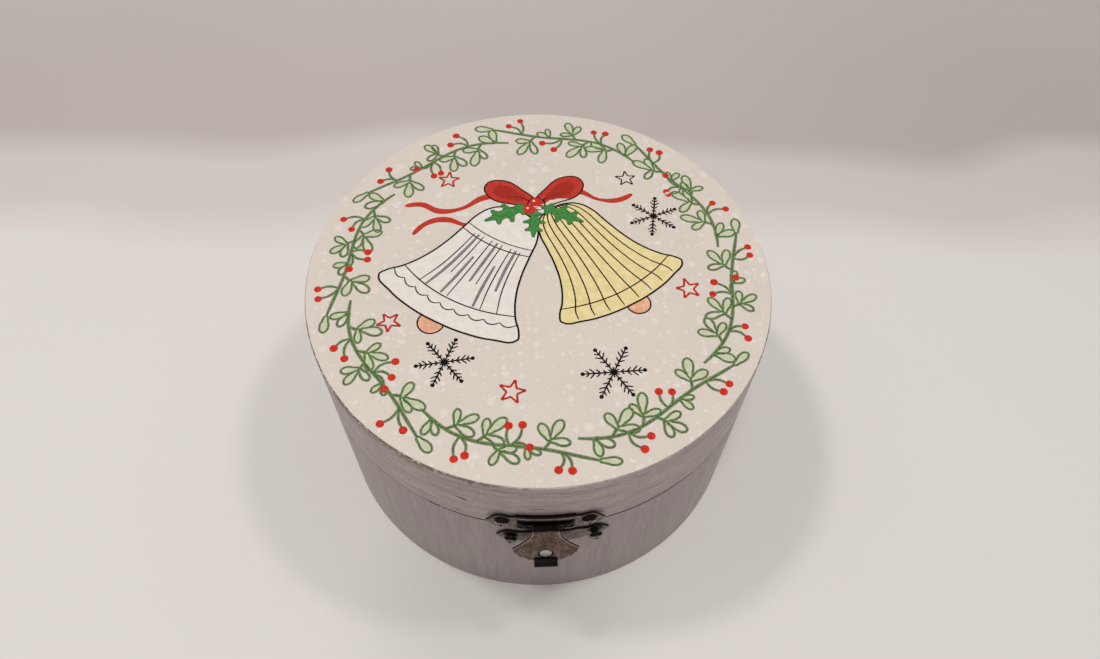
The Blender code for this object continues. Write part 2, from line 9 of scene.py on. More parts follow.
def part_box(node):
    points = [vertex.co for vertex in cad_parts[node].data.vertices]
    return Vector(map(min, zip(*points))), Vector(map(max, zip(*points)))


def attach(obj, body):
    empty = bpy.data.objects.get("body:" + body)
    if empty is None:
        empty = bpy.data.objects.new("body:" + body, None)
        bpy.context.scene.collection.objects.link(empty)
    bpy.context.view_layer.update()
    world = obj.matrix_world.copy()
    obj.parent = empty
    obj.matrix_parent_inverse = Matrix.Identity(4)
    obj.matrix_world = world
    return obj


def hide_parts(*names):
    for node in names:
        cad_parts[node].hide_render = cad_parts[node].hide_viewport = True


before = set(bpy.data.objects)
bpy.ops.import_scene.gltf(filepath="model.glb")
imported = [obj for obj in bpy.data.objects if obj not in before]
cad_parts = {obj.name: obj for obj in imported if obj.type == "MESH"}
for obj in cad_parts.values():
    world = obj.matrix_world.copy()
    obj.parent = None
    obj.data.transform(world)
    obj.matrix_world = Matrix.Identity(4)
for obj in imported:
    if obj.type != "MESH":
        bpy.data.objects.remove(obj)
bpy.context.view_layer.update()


# Camera
# The picture is taken by hand from above the front edge of the table, looking down at 56 degrees.
# It stands a little left of the box and is held slightly off level.
HEADING = math.radians(3.1)
lens = bpy.data.cameras.new("camera")
lens.sensor_width = 36
lens.lens = 27.73
lens.clip_start = 0.01
camera = bpy.data.objects.new("camera", lens)
bpy.context.scene.collection.objects.link(camera)
place = Matrix.Translation((-0.0048, -0.1572, 0.2832))
to_right = Matrix.Rotation(-HEADING, 4, "Z")
look_down = Matrix.Rotation(math.radians(90 - 56.08), 4, "X")
off_level = Matrix.Rotation(math.radians(1.39), 4, "Z")
camera.matrix_world = place @ to_right @ look_down @ off_level
bpy.context.scene.camera = camera
bpy.context.scene.view_settings.view_transform = "Standard"


# Table
# A large sheet of matt white paper lies on the table. Behind the box the shade of soft waves in it
# is painted into its colour, so its tone changes in broad bands.
def plug_in(tree, node, inputs):
    """Set a node's inputs. Each is given a value, or a socket that it is linked from."""
    for name, value in dict(inputs).items():
        if isinstance(value, bpy.types.NodeSocket):
            tree.links.new(value, node.inputs[name])
        else:
            node.inputs[name].default_value = value


def add_node(tree, kind, inputs=(), **settings):
    """Add a shader node of a kind, with its settings and its inputs."""
    made = tree.nodes.new("ShaderNode" + kind)
    for name, value in settings.items():
        setattr(made, name, value)
    plug_in(tree, made, inputs)
    return made


def math_node(tree, operation, first, second=0.0, clamp=False):
    made = add_node(tree, "Math", {0: first, 1: second}, operation=operation, use_clamp=clamp)
    return made.outputs[0]


def times(tree, first, *others):
    for other in others:
        first = math_node(tree, "MULTIPLY", first, other)
    return first


def plus(tree, first, *others):
    for other in others:
        first = math_node(tree, "ADD", first, other)
    return first


def vector_node(tree, operation, first, second=(0.0, 0.0, 0.0), output="Vector"):
    made = add_node(tree, "VectorMath", {0: first, 1: second}, operation=operation)
    return made.outputs[output]


def own_place(tree):
    """The place on the piece that is shaded, in metres."""
    return add_node(tree, "TexCoord").outputs["Object"]


def parts(tree, vector):
    """The X, Y and Z of a vector."""
    return add_node(tree, "SeparateXYZ", {"Vector": vector}).outputs


def spread(tree, value, low, high, to_low=0.0, to_high=1.0):
    """Stretch the range low to high of a value over another range, smoothly and clamped."""
    ranges = {"From Min": low, "From Max": high, "To Min": to_low, "To Max": to_high}
    made = add_node(tree, "MapRange", {"Value": value, **ranges}, interpolation_type="SMOOTHSTEP")
    return made.outputs["Result"]


def noise(tree, vector, scale, detail=3.0, roughness=0.6):
    inputs = {"Vector": vector, "Scale": scale, "Detail": detail, "Roughness": roughness}
    return add_node(tree, "TexNoise", inputs).outputs["Fac"]


def mix_colours(tree, factor, first, second):
    """Mix two colours, each given as a triple or a socket."""
    first, second = (
        colour if isinstance(colour, bpy.types.NodeSocket) else (*colour, 1)
        for colour in (first, second)
    )
    return add_node(tree, "Mix", {0: factor, 6: first, 7: second}, data_type="RGBA").outputs[2]


def tone_steps(tree, value, steps):
    """Turn a value into a colour by steps of (position, colour)."""
    ramp = add_node(tree, "ValToRGB", {"Fac": value})
    bands = ramp.color_ramp.elements
    while len(bands) < len(steps):
        bands.new(0.5)
    for band, (position, colour) in zip(bands, steps):
        band.position = position
        band.color = (*colour, 1)
    return ramp.outputs["Color"]


def new_material(name):
    """Make a material and return it with its node tree and its main shader."""
    made = bpy.data.materials.new(name)
    made.use_nodes = True
    return made, made.node_tree, made.node_tree.nodes["Principled BSDF"]


bpy.ops.object.select_all(action="DESELECT")
bpy.ops.mesh.primitive_plane_add(size=5)
table = bpy.context.active_object
table.name = "table_sheet"

# The painted shade of the sheet, as tones from the middle of the box to BAND_DEPTH behind it.
BAND_DEPTH = 0.3
SHADE_BANDS = [
    (0.00, (0.800, 0.765, 0.722)),
    (0.26, (0.795, 0.758, 0.716)),
    (0.35, (0.690, 0.636, 0.598)),
    (0.44, (0.690, 0.634, 0.594)),
    (0.50, (0.545, 0.486, 0.456)),
    (0.62, (0.560, 0.502, 0.468)),
    (0.84, (0.600, 0.545, 0.508)),
    (1.00, (0.600, 0.545, 0.508)),
]
BLACK = (0.0, 0.0, 0.0)
sheet_white, tree, shader = new_material("table_sheet")
# The bands lie square to the view.
squared = {"Vector": own_place(tree), "Rotation": (0, 0, HEADING), "Scale": (1, 1, 0)}
squared = add_node(tree, "Mapping", squared).outputs["Vector"]
sides = parts(tree, squared)
waves = spread(tree, noise(tree, squared, 6.0, 1.0, 0.4), 0.3, 0.7, -0.012, 0.012)
back = math_node(tree, "DIVIDE", plus(tree, sides["Y"], waves), BAND_DEPTH, clamp=True)
colour = tone_steps(tree, back, SHADE_BANDS)
# Behind the box the sheet is painted darker towards the right.
to_right = spread(tree, sides["X"], -0.15, 0.25)
behind = spread(tree, sides["Y"], 0.06, 0.14, 0.04, 0.10)
colour = mix_colours(tree, times(tree, to_right, behind), colour, BLACK)
# A faint shade is painted on the sheet before the foot of the box.
off = vector_node(tree, "DISTANCE", squared, (-0.012, -0.080, 0.0), "Value")
colour = mix_colours(tree, spread(tree, off, 0.015, 0.06, 0.13, 0.0), colour, BLACK)
plug_in(tree, shader, {"Base Color": colour, "Roughness": 0.85, "Specular IOR Level": 0.2})
table.data.materials.append(sheet_white)


# Light
# Two lamps stand high behind the box, left and right, and one hangs over its front. Soft light
# comes in low from all round. The ceiling is dim, so metal that faces up is dark, and the white
# table lights what faces down.
for name, spot, size, watts in (
    ("lamp_left", (-0.37, 0.13, 1.0), 0.12, 2.1),
    ("lamp_right", (0.40, 0.08, 1.0), 0.12, 1.6),
    ("lamp_front", (-0.03, -0.25, 1.0), 0.16, 3.0),
):
    lamp = bpy.data.lights.new(name, "AREA")
    lamp.shape = "DISK"
    lamp.size = size
    lamp.energy = watts
    lamp.color = (1.0, 0.998, 0.985)
    stand = bpy.data.objects.new(name, lamp)
    bpy.context.scene.collection.objects.link(stand)
    stand.location = spot
    stand.rotation_euler = (-Vector(spot)).to_track_quat("-Z", "Y").to_euler()


def fade(tree, value, low, high):
    """One below a range of a value, falling smoothly to nothing above it."""
    return spread(tree, value, low, high, 1.0, 0.0)


room = bpy.data.worlds.new("room")
bpy.context.scene.world = room
room.use_nodes = True
tree = room.node_tree
way = parts(tree, add_node(tree, "TexCoord").outputs["Generated"])
low = fade(tree, way["Z"], 0.35, 0.80)
away = spread(tree, way["Y"], -0.9, 0.2, 0.35, 0.85)
beside = spread(tree, math_node(tree, "ABSOLUTE", way["X"]), 0.22, 0.5, 0.0, 0.5)
round_about = math_node(tree, "MAXIMUM", low, beside)
level = plus(tree, times(tree, round_about, away), 0.06)
sky = {"Color": (1.0, 0.955, 0.955, 1), "Strength": level}
plug_in(tree, tree.nodes["Background"], sky)


# Bottom panel
# A disc of thin plywood glued under the body ring. Its edge is painted with the wall, and its
# upper face is left bare inside the box.
BOX_RADIUS = 0.0700
WALL_SIDES = 192
# A glued joint is a groove of up to a tenth of a millimetre, which shows as a faint line.
GROOVE = 0.0001


def activate(piece):
    """Select one piece and nothing else."""
    bpy.ops.object.select_all(action="DESELECT")
    piece.select_set(True)
    bpy.context.view_layer.objects.active = piece


def settle(name):
    """Name the piece that was just added and apply its place and size to its mesh."""
    made = bpy.context.active_object
    made.name = name
    bpy.ops.object.transform_apply(location=True, rotation=True, scale=True)
    return made


def turned(name, radius, foot, top, ends="NGON", sides=WALL_SIDES):
    """A plain disc standing on a height. Without its ends it is a tube."""
    bpy.ops.object.select_all(action="DESELECT")
    bpy.ops.mesh.primitive_cylinder_add(
        vertices=sides,
        radius=radius,
        depth=top - foot,
        end_fill_type=ends,
        location=(0, 0, (foot + top) / 2),
    )
    return settle(name)


def take_up(piece, kind, chosen):
    """Open a piece for editing, with those of its edges or faces selected that are chosen."""
    activate(piece)
    bpy.ops.object.mode_set(mode="EDIT")
    bpy.ops.mesh.select_mode(type=kind)
    bpy.ops.mesh.select_all(action="DESELECT")
    shape = bmesh.from_edit_mesh(piece.data)
    for part in shape.edges if kind == "EDGE" else shape.faces:
        part.select_set(chosen(part))
    bmesh.update_edit_mesh(piece.data)


def soften(piece, radius, height, width):
    """Round over the edge that runs round the piece at a radius and a height."""
    def on_rim(edge):
        ends = [(v.co.xy.length - radius, v.co.z - height) for v in edge.verts]
        return all(abs(out) < 2e-5 and abs(up) < 2e-6 for out, up in ends)

    take_up(piece, "EDGE", on_rim)
    bpy.ops.mesh.bevel(offset=width, segments=3, affect="EDGES")
    bpy.ops.object.mode_set(mode="OBJECT")


def smooth(piece):
    activate(piece)
    bpy.ops.object.shade_smooth_by_angle(angle=math.radians(35))


def give_materials(piece, materials, choose):
    """Give each face the material whose number choose(face) returns."""
    for material in materials:
        piece.data.materials.append(material)
    for face in piece.data.polygons:
        face.material_index = choose(face)


def new_group(name, inputs, outputs):
    """Start a node group whose inputs have the given values. Returns it with its two ends."""
    group = bpy.data.node_groups.new(name, "ShaderNodeTree")
    for label, value in inputs.items():
        kind = "NodeSocketVector" if isinstance(value, tuple) else "NodeSocketFloat"
        socket = group.interface.new_socket(label, in_out="INPUT", socket_type=kind)
        socket.default_value = value
    for label in outputs:
        group.interface.new_socket(label, in_out="OUTPUT", socket_type="NodeSocketFloat")
    start = group.nodes.new("NodeGroupInput")
    end = group.nodes.new("NodeGroupOutput")
    return group, start.outputs, end


def use_group(tree, group, inputs):
    return add_node(tree, "Group", inputs, node_tree=group).outputs


def apart(tree, first, second):
    """How far two values lie apart."""
    return math_node(tree, "ABSOLUTE", math_node(tree, "SUBTRACT", first, second))


# Streaks: marks drawn out along the surface, as by a brush or by wood fibres.
streaks, given, result = new_group(
    "streaks", {"Stretch": (100.0, 100.0, 3000.0), "Offset": 0.0}, ["Broad", "Fine", "Pores"]
)
drawn = vector_node(streaks, "MULTIPLY", own_place(streaks), given["Stretch"])
drawn = vector_node(streaks, "ADD", drawn, given["Offset"])
for label, scale, detail, roughness, low, high in (
    ("Broad", 0.28, 4.0, 0.65, 0.32, 0.68),
    ("Fine", 0.9, 3.0, 0.6, 0.3, 0.7),
    ("Pores", 0.8, 2.0, 0.5, 0.64, 0.72),
):
    marks = noise(streaks, drawn, scale, detail, roughness)
    plug_in(streaks, result, {label: spread(streaks, marks, low, high)})

# Worn band: a ragged band round the box at a height, where handling has rubbed an edge. It is
# wider and more broken at the front left.
worn_band, given, result = new_group(
    "worn_band", {"Height": 0.08, "Reach": 0.0008, "Amount": 0.5, "Left": 0.0}, ["Mask"]
)
where = own_place(worn_band)
sides = parts(worn_band, where)
to_left = fade(worn_band, sides["X"], -0.045, 0.015)
to_front = fade(worn_band, sides["Y"], -0.030, 0.025)
amount = plus(worn_band, given["Amount"], times(worn_band, to_left, to_front, given["Left"]))
away = apart(worn_band, sides["Z"], given["Height"])
away = math_node(worn_band, "DIVIDE", away, given["Reach"])
near = math_node(worn_band, "SUBTRACT", 1.0, away, clamp=True)
dashes = vector_node(worn_band, "MULTIPLY", where, (1.0, 1.0, 3.0))
ragged = noise(worn_band, dashes, 330.0, 4.0, 0.7)
broken = spread(worn_band, noise(worn_band, where, 45.0, 2.0), 0.35, 0.6, 0.5, 1.0)
chance = times(worn_band, ragged, broken)
level = plus(worn_band, times(worn_band, near, 0.5), chance, amount)
mask = times(worn_band, spread(worn_band, level, 1.0, 1.12), spread(worn_band, near, 0.0, 0.3))
plug_in(worn_band, result, {"Mask": mask})


def toned(colour, factor):
    """A colour made darker or lighter by a factor."""
    return tuple(part * factor for part in colour)


def bump(tree, relief, strength, distance):
    inputs = {"Height": relief, "Strength": strength, "Distance": distance}
    return add_node(tree, "Bump", inputs).outputs["Normal"]


def brushed_paint(name, tone, contrast, stretch, offset, pores, worn, marks):
    """Silver-mauve paint with a little metal in it, brushed on wood and rubbed at the edges.
    Contrast is how far its broad streaks differ, and pores is how strongly the pores of the wood
    show through. Worn is one row of height, reach, amount and left share for each rubbed edge.
    Marks paints what is marked on the wall."""
    made, tree, shader = new_material(name)
    streak = use_group(tree, streaks, {"Stretch": stretch, "Offset": offset})
    where = own_place(tree)
    deep, pale = toned(tone, 1 - contrast), toned(tone, 1 + contrast)
    colour = mix_colours(tree, streak["Broad"], deep, pale)
    thin = spread(tree, streak["Fine"], 0.0, 1.0, 0.40, 0.0)
    colour = mix_colours(tree, thin, colour, toned(tone, 0.68))
    dust = noise(tree, where, 1200.0, 3.0, 0.65)
    dusty = spread(tree, dust, 0.34, 0.66, 0.28, 0.0)
    colour = mix_colours(tree, dusty, colour, (0.20, 0.160, 0.150))
    hollow = spread(tree, streak["Pores"], 0.0, 1.0, 0.0, pores)
    colour = mix_colours(tree, hollow, colour, (0.12, 0.092, 0.080))
    for height, reach, amount, left in worn:
        row = {"Height": height, "Reach": reach, "Amount": amount, "Left": left}
        rubbed = use_group(tree, worn_band, row)["Mask"]
        flecks = spread(tree, noise(tree, where, 900.0, 2.0), 0.52, 0.60)
        bare = mix_colours(tree, flecks, (0.150, 0.102, 0.075), (0.50, 0.43, 0.39))
        colour = mix_colours(tree, spread(tree, rubbed, 0.0, 1.0, 0.0, 0.80), colour, bare)
    relief = plus(tree, times(tree, streak["Fine"], 0.5), times(tree, dust, 0.6))
    relief = math_node(tree, "SUBTRACT", relief, streak["Pores"])
    coat = {
        "Base Color": marks(tree, where, colour),
        "Roughness": spread(tree, streak["Broad"], 0.0, 1.0, 0.46, 0.38),
        "Metallic": 0.30,
        "Specular IOR Level": 0.3,
        "Normal": bump(tree, relief, 0.35, 0.00010),
    }
    plug_in(tree, shader, coat)
    return made


# How black the joint of lid and body is round the front, from the left (x in mm) to the right.
# It is open at the right, and at the left most of it is bridged with paint.
JOINT_HEIGHT = 0.0543
OPEN_JOINT = [
    (-70, 0.2), (-44, 0.1), (-33.8, 0.0), (-33, 0.9), (-30, 0.9), (-29.5, 0.0), (-27, 0.2),
    (-25, 0.75), (-16, 0.9), (16, 1.0), (41, 1.0), (45, 0.5), (70, 0.3),
]


def at_front(tree, sides):
    """A mask of the front half of the box."""
    return math_node(tree, "LESS_THAN", sides["Y"], 0.0)


def joint_line(tree, where, colour):
    """Blacken a wall along the joint of lid and body, as far as the joint is open."""
    sides = parts(tree, where)
    off = apart(tree, sides["Z"], JOINT_HEIGHT)
    near = fade(tree, off, 0.00030, 0.00042)
    across = math_node(tree, "DIVIDE", sides["X"], 2 * BOX_RADIUS)
    steps = [((x + 70) / 140, (amount, amount, amount)) for x, amount in OPEN_JOINT]
    open_part = tone_steps(tree, plus(tree, across, 0.5), steps)
    black = times(tree, near, at_front(tree, sides), open_part)
    return mix_colours(tree, black, colour, (0.012, 0.009, 0.009))


def bare_wood(name, stretch, offset, painted_from=1.0):
    """Unpainted light wood, sanded, with its grain drawn out along the stretch. Paint has run
    over it from a radius outwards."""
    made, tree, shader = new_material(name)
    marks = use_group(tree, streaks, {"Stretch": stretch, "Offset": offset})
    colour = mix_colours(tree, marks["Broad"], (0.60, 0.43, 0.27), (0.74, 0.57, 0.39))
    fibres = spread(tree, marks["Fine"], 0.2, 1.0, 0.0, 0.3)
    colour = mix_colours(tree, fibres, colour, (0.50, 0.34, 0.20))
    hollow = spread(tree, marks["Pores"], 0.0, 1.0, 0.0, 0.6)
    colour = mix_colours(tree, hollow, colour, (0.33, 0.20, 0.11))
    where = own_place(tree)
    level = vector_node(tree, "MULTIPLY", where, (1.0, 1.0, 0.0))
    out = vector_node(tree, "LENGTH", level, output="Value")
    ragged = spread(tree, noise(tree, where, 400.0), 0.3, 0.7, -0.0004, 0.0004)
    run = spread(tree, plus(tree, out, ragged), painted_from, painted_from + 0.0003)
    relief = math_node(tree, "SUBTRACT", marks["Fine"], marks["Pores"])
    coat = {
        "Base Color": mix_colours(tree, run, colour, (0.20, 0.170, 0.165)),
        "Roughness": spread(tree, marks["Fine"], 0.0, 1.0, 0.62, 0.78),
        "Normal": bump(tree, relief, 0.25, 0.0001),
    }
    plug_in(tree, shader, coat)
    return made


def bare_side(way):
    """Return what tells a disc's bare face, which looks up (1) or down (-1), from its edge."""
    return lambda face: int(
        way * face.normal.z > 0.9 and face.center.xy.length < BOX_RADIUS - 0.001
    )


bottom_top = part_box("bottom_panel")[1].z
bottom = turned("bottom_disc", BOX_RADIUS, 0, bottom_top + GROOVE / 2)
soften(bottom, BOX_RADIUS, 0, 0.0004)
soften(bottom, BOX_RADIUS, bottom_top + GROOVE / 2, 0.0001)
smooth(bottom)
body_paint = brushed_paint(
    "body_paint",
    tone=(0.388, 0.332, 0.330),
    contrast=0.03,
    stretch=(1500.0, 1500.0, 90.0),
    offset=3.0,
    pores=0.1,
    worn=[(JOINT_HEIGHT - 0.0001, 0.0007, 0.28, 0.0)],
    marks=joint_line,
)
disc_wood = bare_wood("disc_wood", (60.0, 1500.0, 1500.0), 7.0)
give_materials(bottom, [body_paint, disc_wood], bare_side(1))
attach(bottom, "box")
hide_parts("bottom_panel")


# Body wall
# A ring of bent wood, glued up from a thin strip, sanded, and painted on the outside. A flat is
# planed on it at the back for the hinge.
WALL = 0.0045
# How far the heads of the hinge screws stand off the flat.
HEAD_LIFT = 0.00175


def work(piece, kind, **settings):
    """Give a piece a modifier with its settings, and apply it."""
    step = piece.modifiers.new(kind, kind)
    for name, value in settings.items():
        setattr(step, name, value)
    activate(piece)
    bpy.ops.object.modifier_apply(modifier=kind)


def bent_ring(name, foot, top):
    """A ring of the wall's thickness, standing on a height."""
    made = turned(name, BOX_RADIUS, foot, top, ends="NOTHING")
    work(made, "SOLIDIFY", thickness=WALL, offset=-1, use_even_offset=True)
    return made


def plane_hinge_flat(piece):
    """Plane the flat that the hinge leaves lie on, a little larger than both together. It is cut
    with a block."""
    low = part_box("hinge_leaf_lower")[0].z
    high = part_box("hinge_leaf_upper")[1].z
    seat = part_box("hinge_screw_lower_left")[1].y - HEAD_LIFT
    depth = 0.01
    bpy.ops.object.select_all(action="DESELECT")
    bpy.ops.mesh.primitive_cube_add(size=1, location=(0, seat + depth / 2, (low + high) / 2))
    bpy.context.active_object.scale = (0.06, depth, high - low + 0.0006)
    block = settle("block")
    work(piece, "BOOLEAN", operation="DIFFERENCE", solver="EXACT", object=block)
    bpy.data.objects.remove(block, do_unlink=True)


def inside(face):
    """Whether a face of a ring is bare wood: inside the box, or flat on the ring's end."""
    near_axis = face.center.xy.length < BOX_RADIUS - 0.0022
    return int(near_axis or abs(face.normal.z) > 0.99)


body_foot = bottom_top + GROOVE
body_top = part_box("body_wall")[1].z
body = bent_ring("body_ring", body_foot, body_top)
soften(body, BOX_RADIUS, body_foot, 0.0001)
soften(body, BOX_RADIUS, body_top, 0.0002)
soften(body, BOX_RADIUS - WALL, body_top, 0.0003)
plane_hinge_flat(body)
smooth(body)
ring_wood = bare_wood("ring_wood", (40.0, 40.0, 1500.0), 11.0, painted_from=0.0688)
give_materials(body, [body_paint, ring_wood], inside)
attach(body, "box")
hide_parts("body_wall")


# Lid wall
# A lower ring of the same strip, flush with the body, painted in level strokes so that the wood's
# grain shows through. The shade of one small dent at the front left is painted on it.


def lid_marks(tree, where, colour):
    """Marks on the lid's wall: the joint line, two pale ridges over it, and one dent's painted
    shade.
    """
    colour = joint_line(tree, where, colour)
    sides = parts(tree, where)
    for height, first, last, amount in (
        (0.05475, -0.045, -0.034, 0.55),
        (0.05560, 0.040, 0.062, 0.40),
    ):
        ridge = spread(tree, apart(tree, sides["Z"], height), 0.0001, 0.0003, amount, 0.0)
        for end, way in ((first, 1), (last, -1)):
            ridge = times(tree, ridge, spread(tree, sides["X"], end, end + way * 0.004))
        ridge = times(tree, ridge, at_front(tree, sides))
        colour = mix_colours(tree, ridge, colour, (0.62, 0.55, 0.535))
    # The painted shade of the dent is 3.4 mm long and slopes down to the right.
    set_in = {"Vector": where, "Location": (0.0227, 0.0, -0.0662)}
    set_in = add_node(tree, "Mapping", set_in).outputs["Vector"]
    slope = {"Vector": set_in, "Angle": math.radians(-17)}
    sloped = add_node(tree, "VectorRotate", slope, rotation_type="Y_AXIS").outputs["Vector"]
    drawn_in = vector_node(tree, "MULTIPLY", sloped, (530.0, 0.0, 2100.0))
    off = vector_node(tree, "LENGTH", drawn_in, output="Value")
    off = plus(tree, off, spread(tree, noise(tree, where, 900.0), 0.3, 0.7, -0.2, 0.2))
    # The dent's shade is painted dark on the flat wall.
    dent = times(tree, fade(tree, off, 0.75, 1.10), at_front(tree, sides))
    return mix_colours(tree, dent, colour, (0.018, 0.014, 0.013))


lid_foot, lid_top = (corner.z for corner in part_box("lid_wall"))
lid = bent_ring("lid_ring", lid_foot, lid_top)
soften(lid, BOX_RADIUS, lid_foot, 0.0002)
soften(lid, BOX_RADIUS - WALL, lid_foot, 0.0003)
soften(lid, BOX_RADIUS, lid_top, 0.0001)
plane_hinge_flat(lid)
smooth(lid)
lid_paint = brushed_paint(
    "lid_paint",
    tone=(0.455, 0.386, 0.378),
    contrast=0.150,
    stretch=(240.0, 240.0, 1700.0),
    offset=0.0,
    pores=0.6,
    worn=[(0.0798, 0.0046, 0.05, 0.40), (JOINT_HEIGHT, 0.0008, 0.28, 0.0)],
    marks=lid_marks,
)
give_materials(lid, [lid_paint, ring_wood], inside)
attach(lid, "lid")
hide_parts("lid_wall")


# Lid panel
# A plywood disc glued on the lid ring. Its edge is painted with the wall, and the joint shows as
# a faint line.
panel_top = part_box("lid_panel")[1].z
panel = turned("lid_disc", BOX_RADIUS, lid_top + GROOVE, panel_top)
soften(panel, BOX_RADIUS, panel_top, 0.00035)
soften(panel, BOX_RADIUS, lid_top + GROOVE, 0.0001)
smooth(panel)
give_materials(panel, [lid_paint, disc_wood], bare_side(-1))
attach(panel, "lid")
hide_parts("lid_panel")


# Lid paper
# A disc of printed paper, glued on the lid and varnished. It is cut by hand, so its edge is a
# little ragged, and it is flecked all over with soft white spatter.
PAPER_RADIUS = 0.06965
PAPER_TOP = 0.07990
paper = turned("paper_disc", PAPER_RADIUS, panel_top, PAPER_TOP)
bpy.ops.object.mode_set(mode="EDIT")
bpy.ops.mesh.select_mode(type="VERT")
bpy.ops.mesh.select_all(action="SELECT")
bpy.ops.transform.vertex_random(offset=0.00010, uniform=0.0, normal=0.0, seed=4)
bpy.ops.object.mode_set(mode="OBJECT")
# Only the outline is ragged, so both faces are made level again.
for corner in paper.data.vertices:
    corner.co.z = PAPER_TOP if corner.co.z > (panel_top + PAPER_TOP) / 2 else panel_top

printed, tree, shader = new_material("printed_paper")
where = own_place(tree)
cloudy = noise(tree, where, 60.0, 4.0)
colour = mix_colours(tree, cloudy, (0.628, 0.551, 0.480), (0.696, 0.618, 0.545))
warp = add_node(tree, "TexNoise", {"Vector": where, "Scale": 700.0, "Detail": 3.0})
warp = vector_node(tree, "MULTIPLY", warp.outputs["Color"], (0.0020, 0.0020, 0.0))
warped = {"Vector": vector_node(tree, "ADD", where, warp)}
for scale, strength in ((230.0, 0.36), (420.0, 0.42), (800.0, 0.40)):
    drops = {**warped, "Scale": scale}
    drops = add_node(tree, "TexVoronoi", drops, voronoi_dimensions="2D").outputs
    limit = spread(tree, parts(tree, drops["Color"])["X"], 0.60, 1.0, -0.05, 0.34)
    depth = math_node(tree, "SUBTRACT", limit, drops["Distance"])
    fleck = spread(tree, depth, -0.03, 0.14, 0.0, strength)
    colour = mix_colours(tree, fleck, colour, (0.83, 0.775, 0.725))
plug_in(tree, shader, {"Base Color": colour, "Roughness": 0.55, "Specular IOR Level": 0.2})
paper.data.materials.append(printed)
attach(paper, "lid")
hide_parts("lid_paper")


# Printed garland
# A wreath of leafy shoots runs round the paper's rim, drawn with a green crayon. Its leaves are
# open loops with a breath of green in them, and red berries hang on short stalks.

# The thickness of one layer of ink.
INK = 0.000012


def add_lines(drawing, lines):
    """Add lines to a drawing. A line is its points and its width in mm, and open or closed. The
    pen lifts a little towards the ends of an open line."""
    drawing.resolution_u = 5
    for points, width, closed in lines:
        line = drawing.splines.new("BEZIER")
        line.bezier_points.add(len(points) - 1)
        line.use_cyclic_u = closed
        for number, (end, (x, y)) in enumerate(zip(line.bezier_points, points)):
            end.co = (x / 1000, y / 1000, 0)
            end.handle_left_type = end.handle_right_type = "AUTO"
            at_end = not closed and number in (0, len(points) - 1)
            end.radius = width * (0.75 if at_end else 1.0)


def place_print(drawing, name, height, flatten, material):
    """Turn a drawing in mm into a flat mesh at a height above the paper."""
    drawn = bpy.data.objects.new(name, drawing)
    bpy.context.scene.collection.objects.link(drawn)
    activate(drawn)
    bpy.ops.object.convert(target="MESH")
    drawn = bpy.context.active_object
    drawn.scale.z = flatten
    drawn.location.z = PAPER_TOP + height + INK / 2
    bpy.ops.object.transform_apply(location=True, rotation=True, scale=True)
    drawn.data.materials.clear()
    drawn.data.materials.append(material)
    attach(drawn, "lid")


def draw_lines(name, lines, height, material):
    drawing = bpy.data.curves.new(name, "CURVE")
    drawing.dimensions = "3D"
    drawing.bevel_depth = 0.0005
    drawing.bevel_resolution = 0
    drawing.use_fill_caps = True
    add_lines(drawing, lines)
    place_print(drawing, name, height, 0.03, material)


def fill_shapes(name, outlines, height, material):
    """Fill outlines with flat colour."""
    drawing = bpy.data.curves.new(name, "CURVE")
    drawing.dimensions = "2D"
    drawing.fill_mode = "BOTH"
    drawing.extrude = INK / 2
    add_lines(drawing, [(points, 1.0, True) for points in outlines])
    place_print(drawing, name, height, 1.0, material)


def crayon(name, dark, light, scale=2600.0):
    """Printed crayon: its tone is mottled where the wax skipped over the grain."""
    made, tree, shader = new_material(name)
    grain = spread(tree, noise(tree, own_place(tree), scale, 3.0, 0.7), 0.36, 0.66)
    colour = mix_colours(tree, grain, dark, light)
    plug_in(tree, shader, {"Base Color": colour, "Roughness": 0.60, "Specular IOR Level": 0.08})
    return made


def ahead(place, direction, forward, aside=0.0):
    """The place so far forward along a direction in degrees, and so far to its left."""
    along = Vector((math.cos(math.radians(direction)), math.sin(math.radians(direction))))
    return Vector(place) + along * forward + Vector((-along.y, along.x)) * aside


def round_dot(place, radius):
    x, y = place
    turns = (0, 1.26, 2.51, 3.77, 5.03)
    return [(x + radius * math.cos(turn), y + radius * math.sin(turn)) for turn in turns]


def both_sides(half):
    """The outline of a leaf that is one unit long, from the points of its left half."""
    return [(0, 0), *half, (1, 0), *((along, -aside) for along, aside in reversed(half))]


LEAF = both_sides([(0.3, 0.33), (0.62, 0.52), (0.9, 0.36)])
hand = random.Random(11)
green_lines = []
leaf_tints = []
berries = []


def add_leaf(place, direction, length):
    length, width = length * 0.92, length * hand.uniform(0.33, 0.41)
    loop = [ahead(place, direction, length * a, width * b) for a, b in LEAF]
    green_lines.append((loop, 0.50, True))
    leaf_tints.append(loop)


def add_sprig(place, direction, size):
    """A short stalk with a leaf at its end and a leaf on each side."""
    curl = hand.uniform(-14, 14)
    middle = ahead(place, direction, 2.0 * size)
    tip = ahead(place, direction + curl, 3.8 * size)
    green_lines.append(([place, middle, tip], 0.62, False))
    add_leaf(tip, direction + curl * 2, 6.8 * size * hand.uniform(0.9, 1.1))
    for side in (-1, 1):
        start = ahead(place, direction + curl, 3.0 * size)
        turn = direction + side * hand.uniform(50, 66)
        add_leaf(start, turn, 6.0 * size * hand.uniform(0.85, 1.1))


def add_pair(place, direction, size):
    """Two leaves that open from one point of the stem."""
    for turn in (-25, 27):
        turn = direction + turn + hand.uniform(-7, 7)
        add_leaf(place, turn, 7.3 * size * hand.uniform(0.85, 1.1))


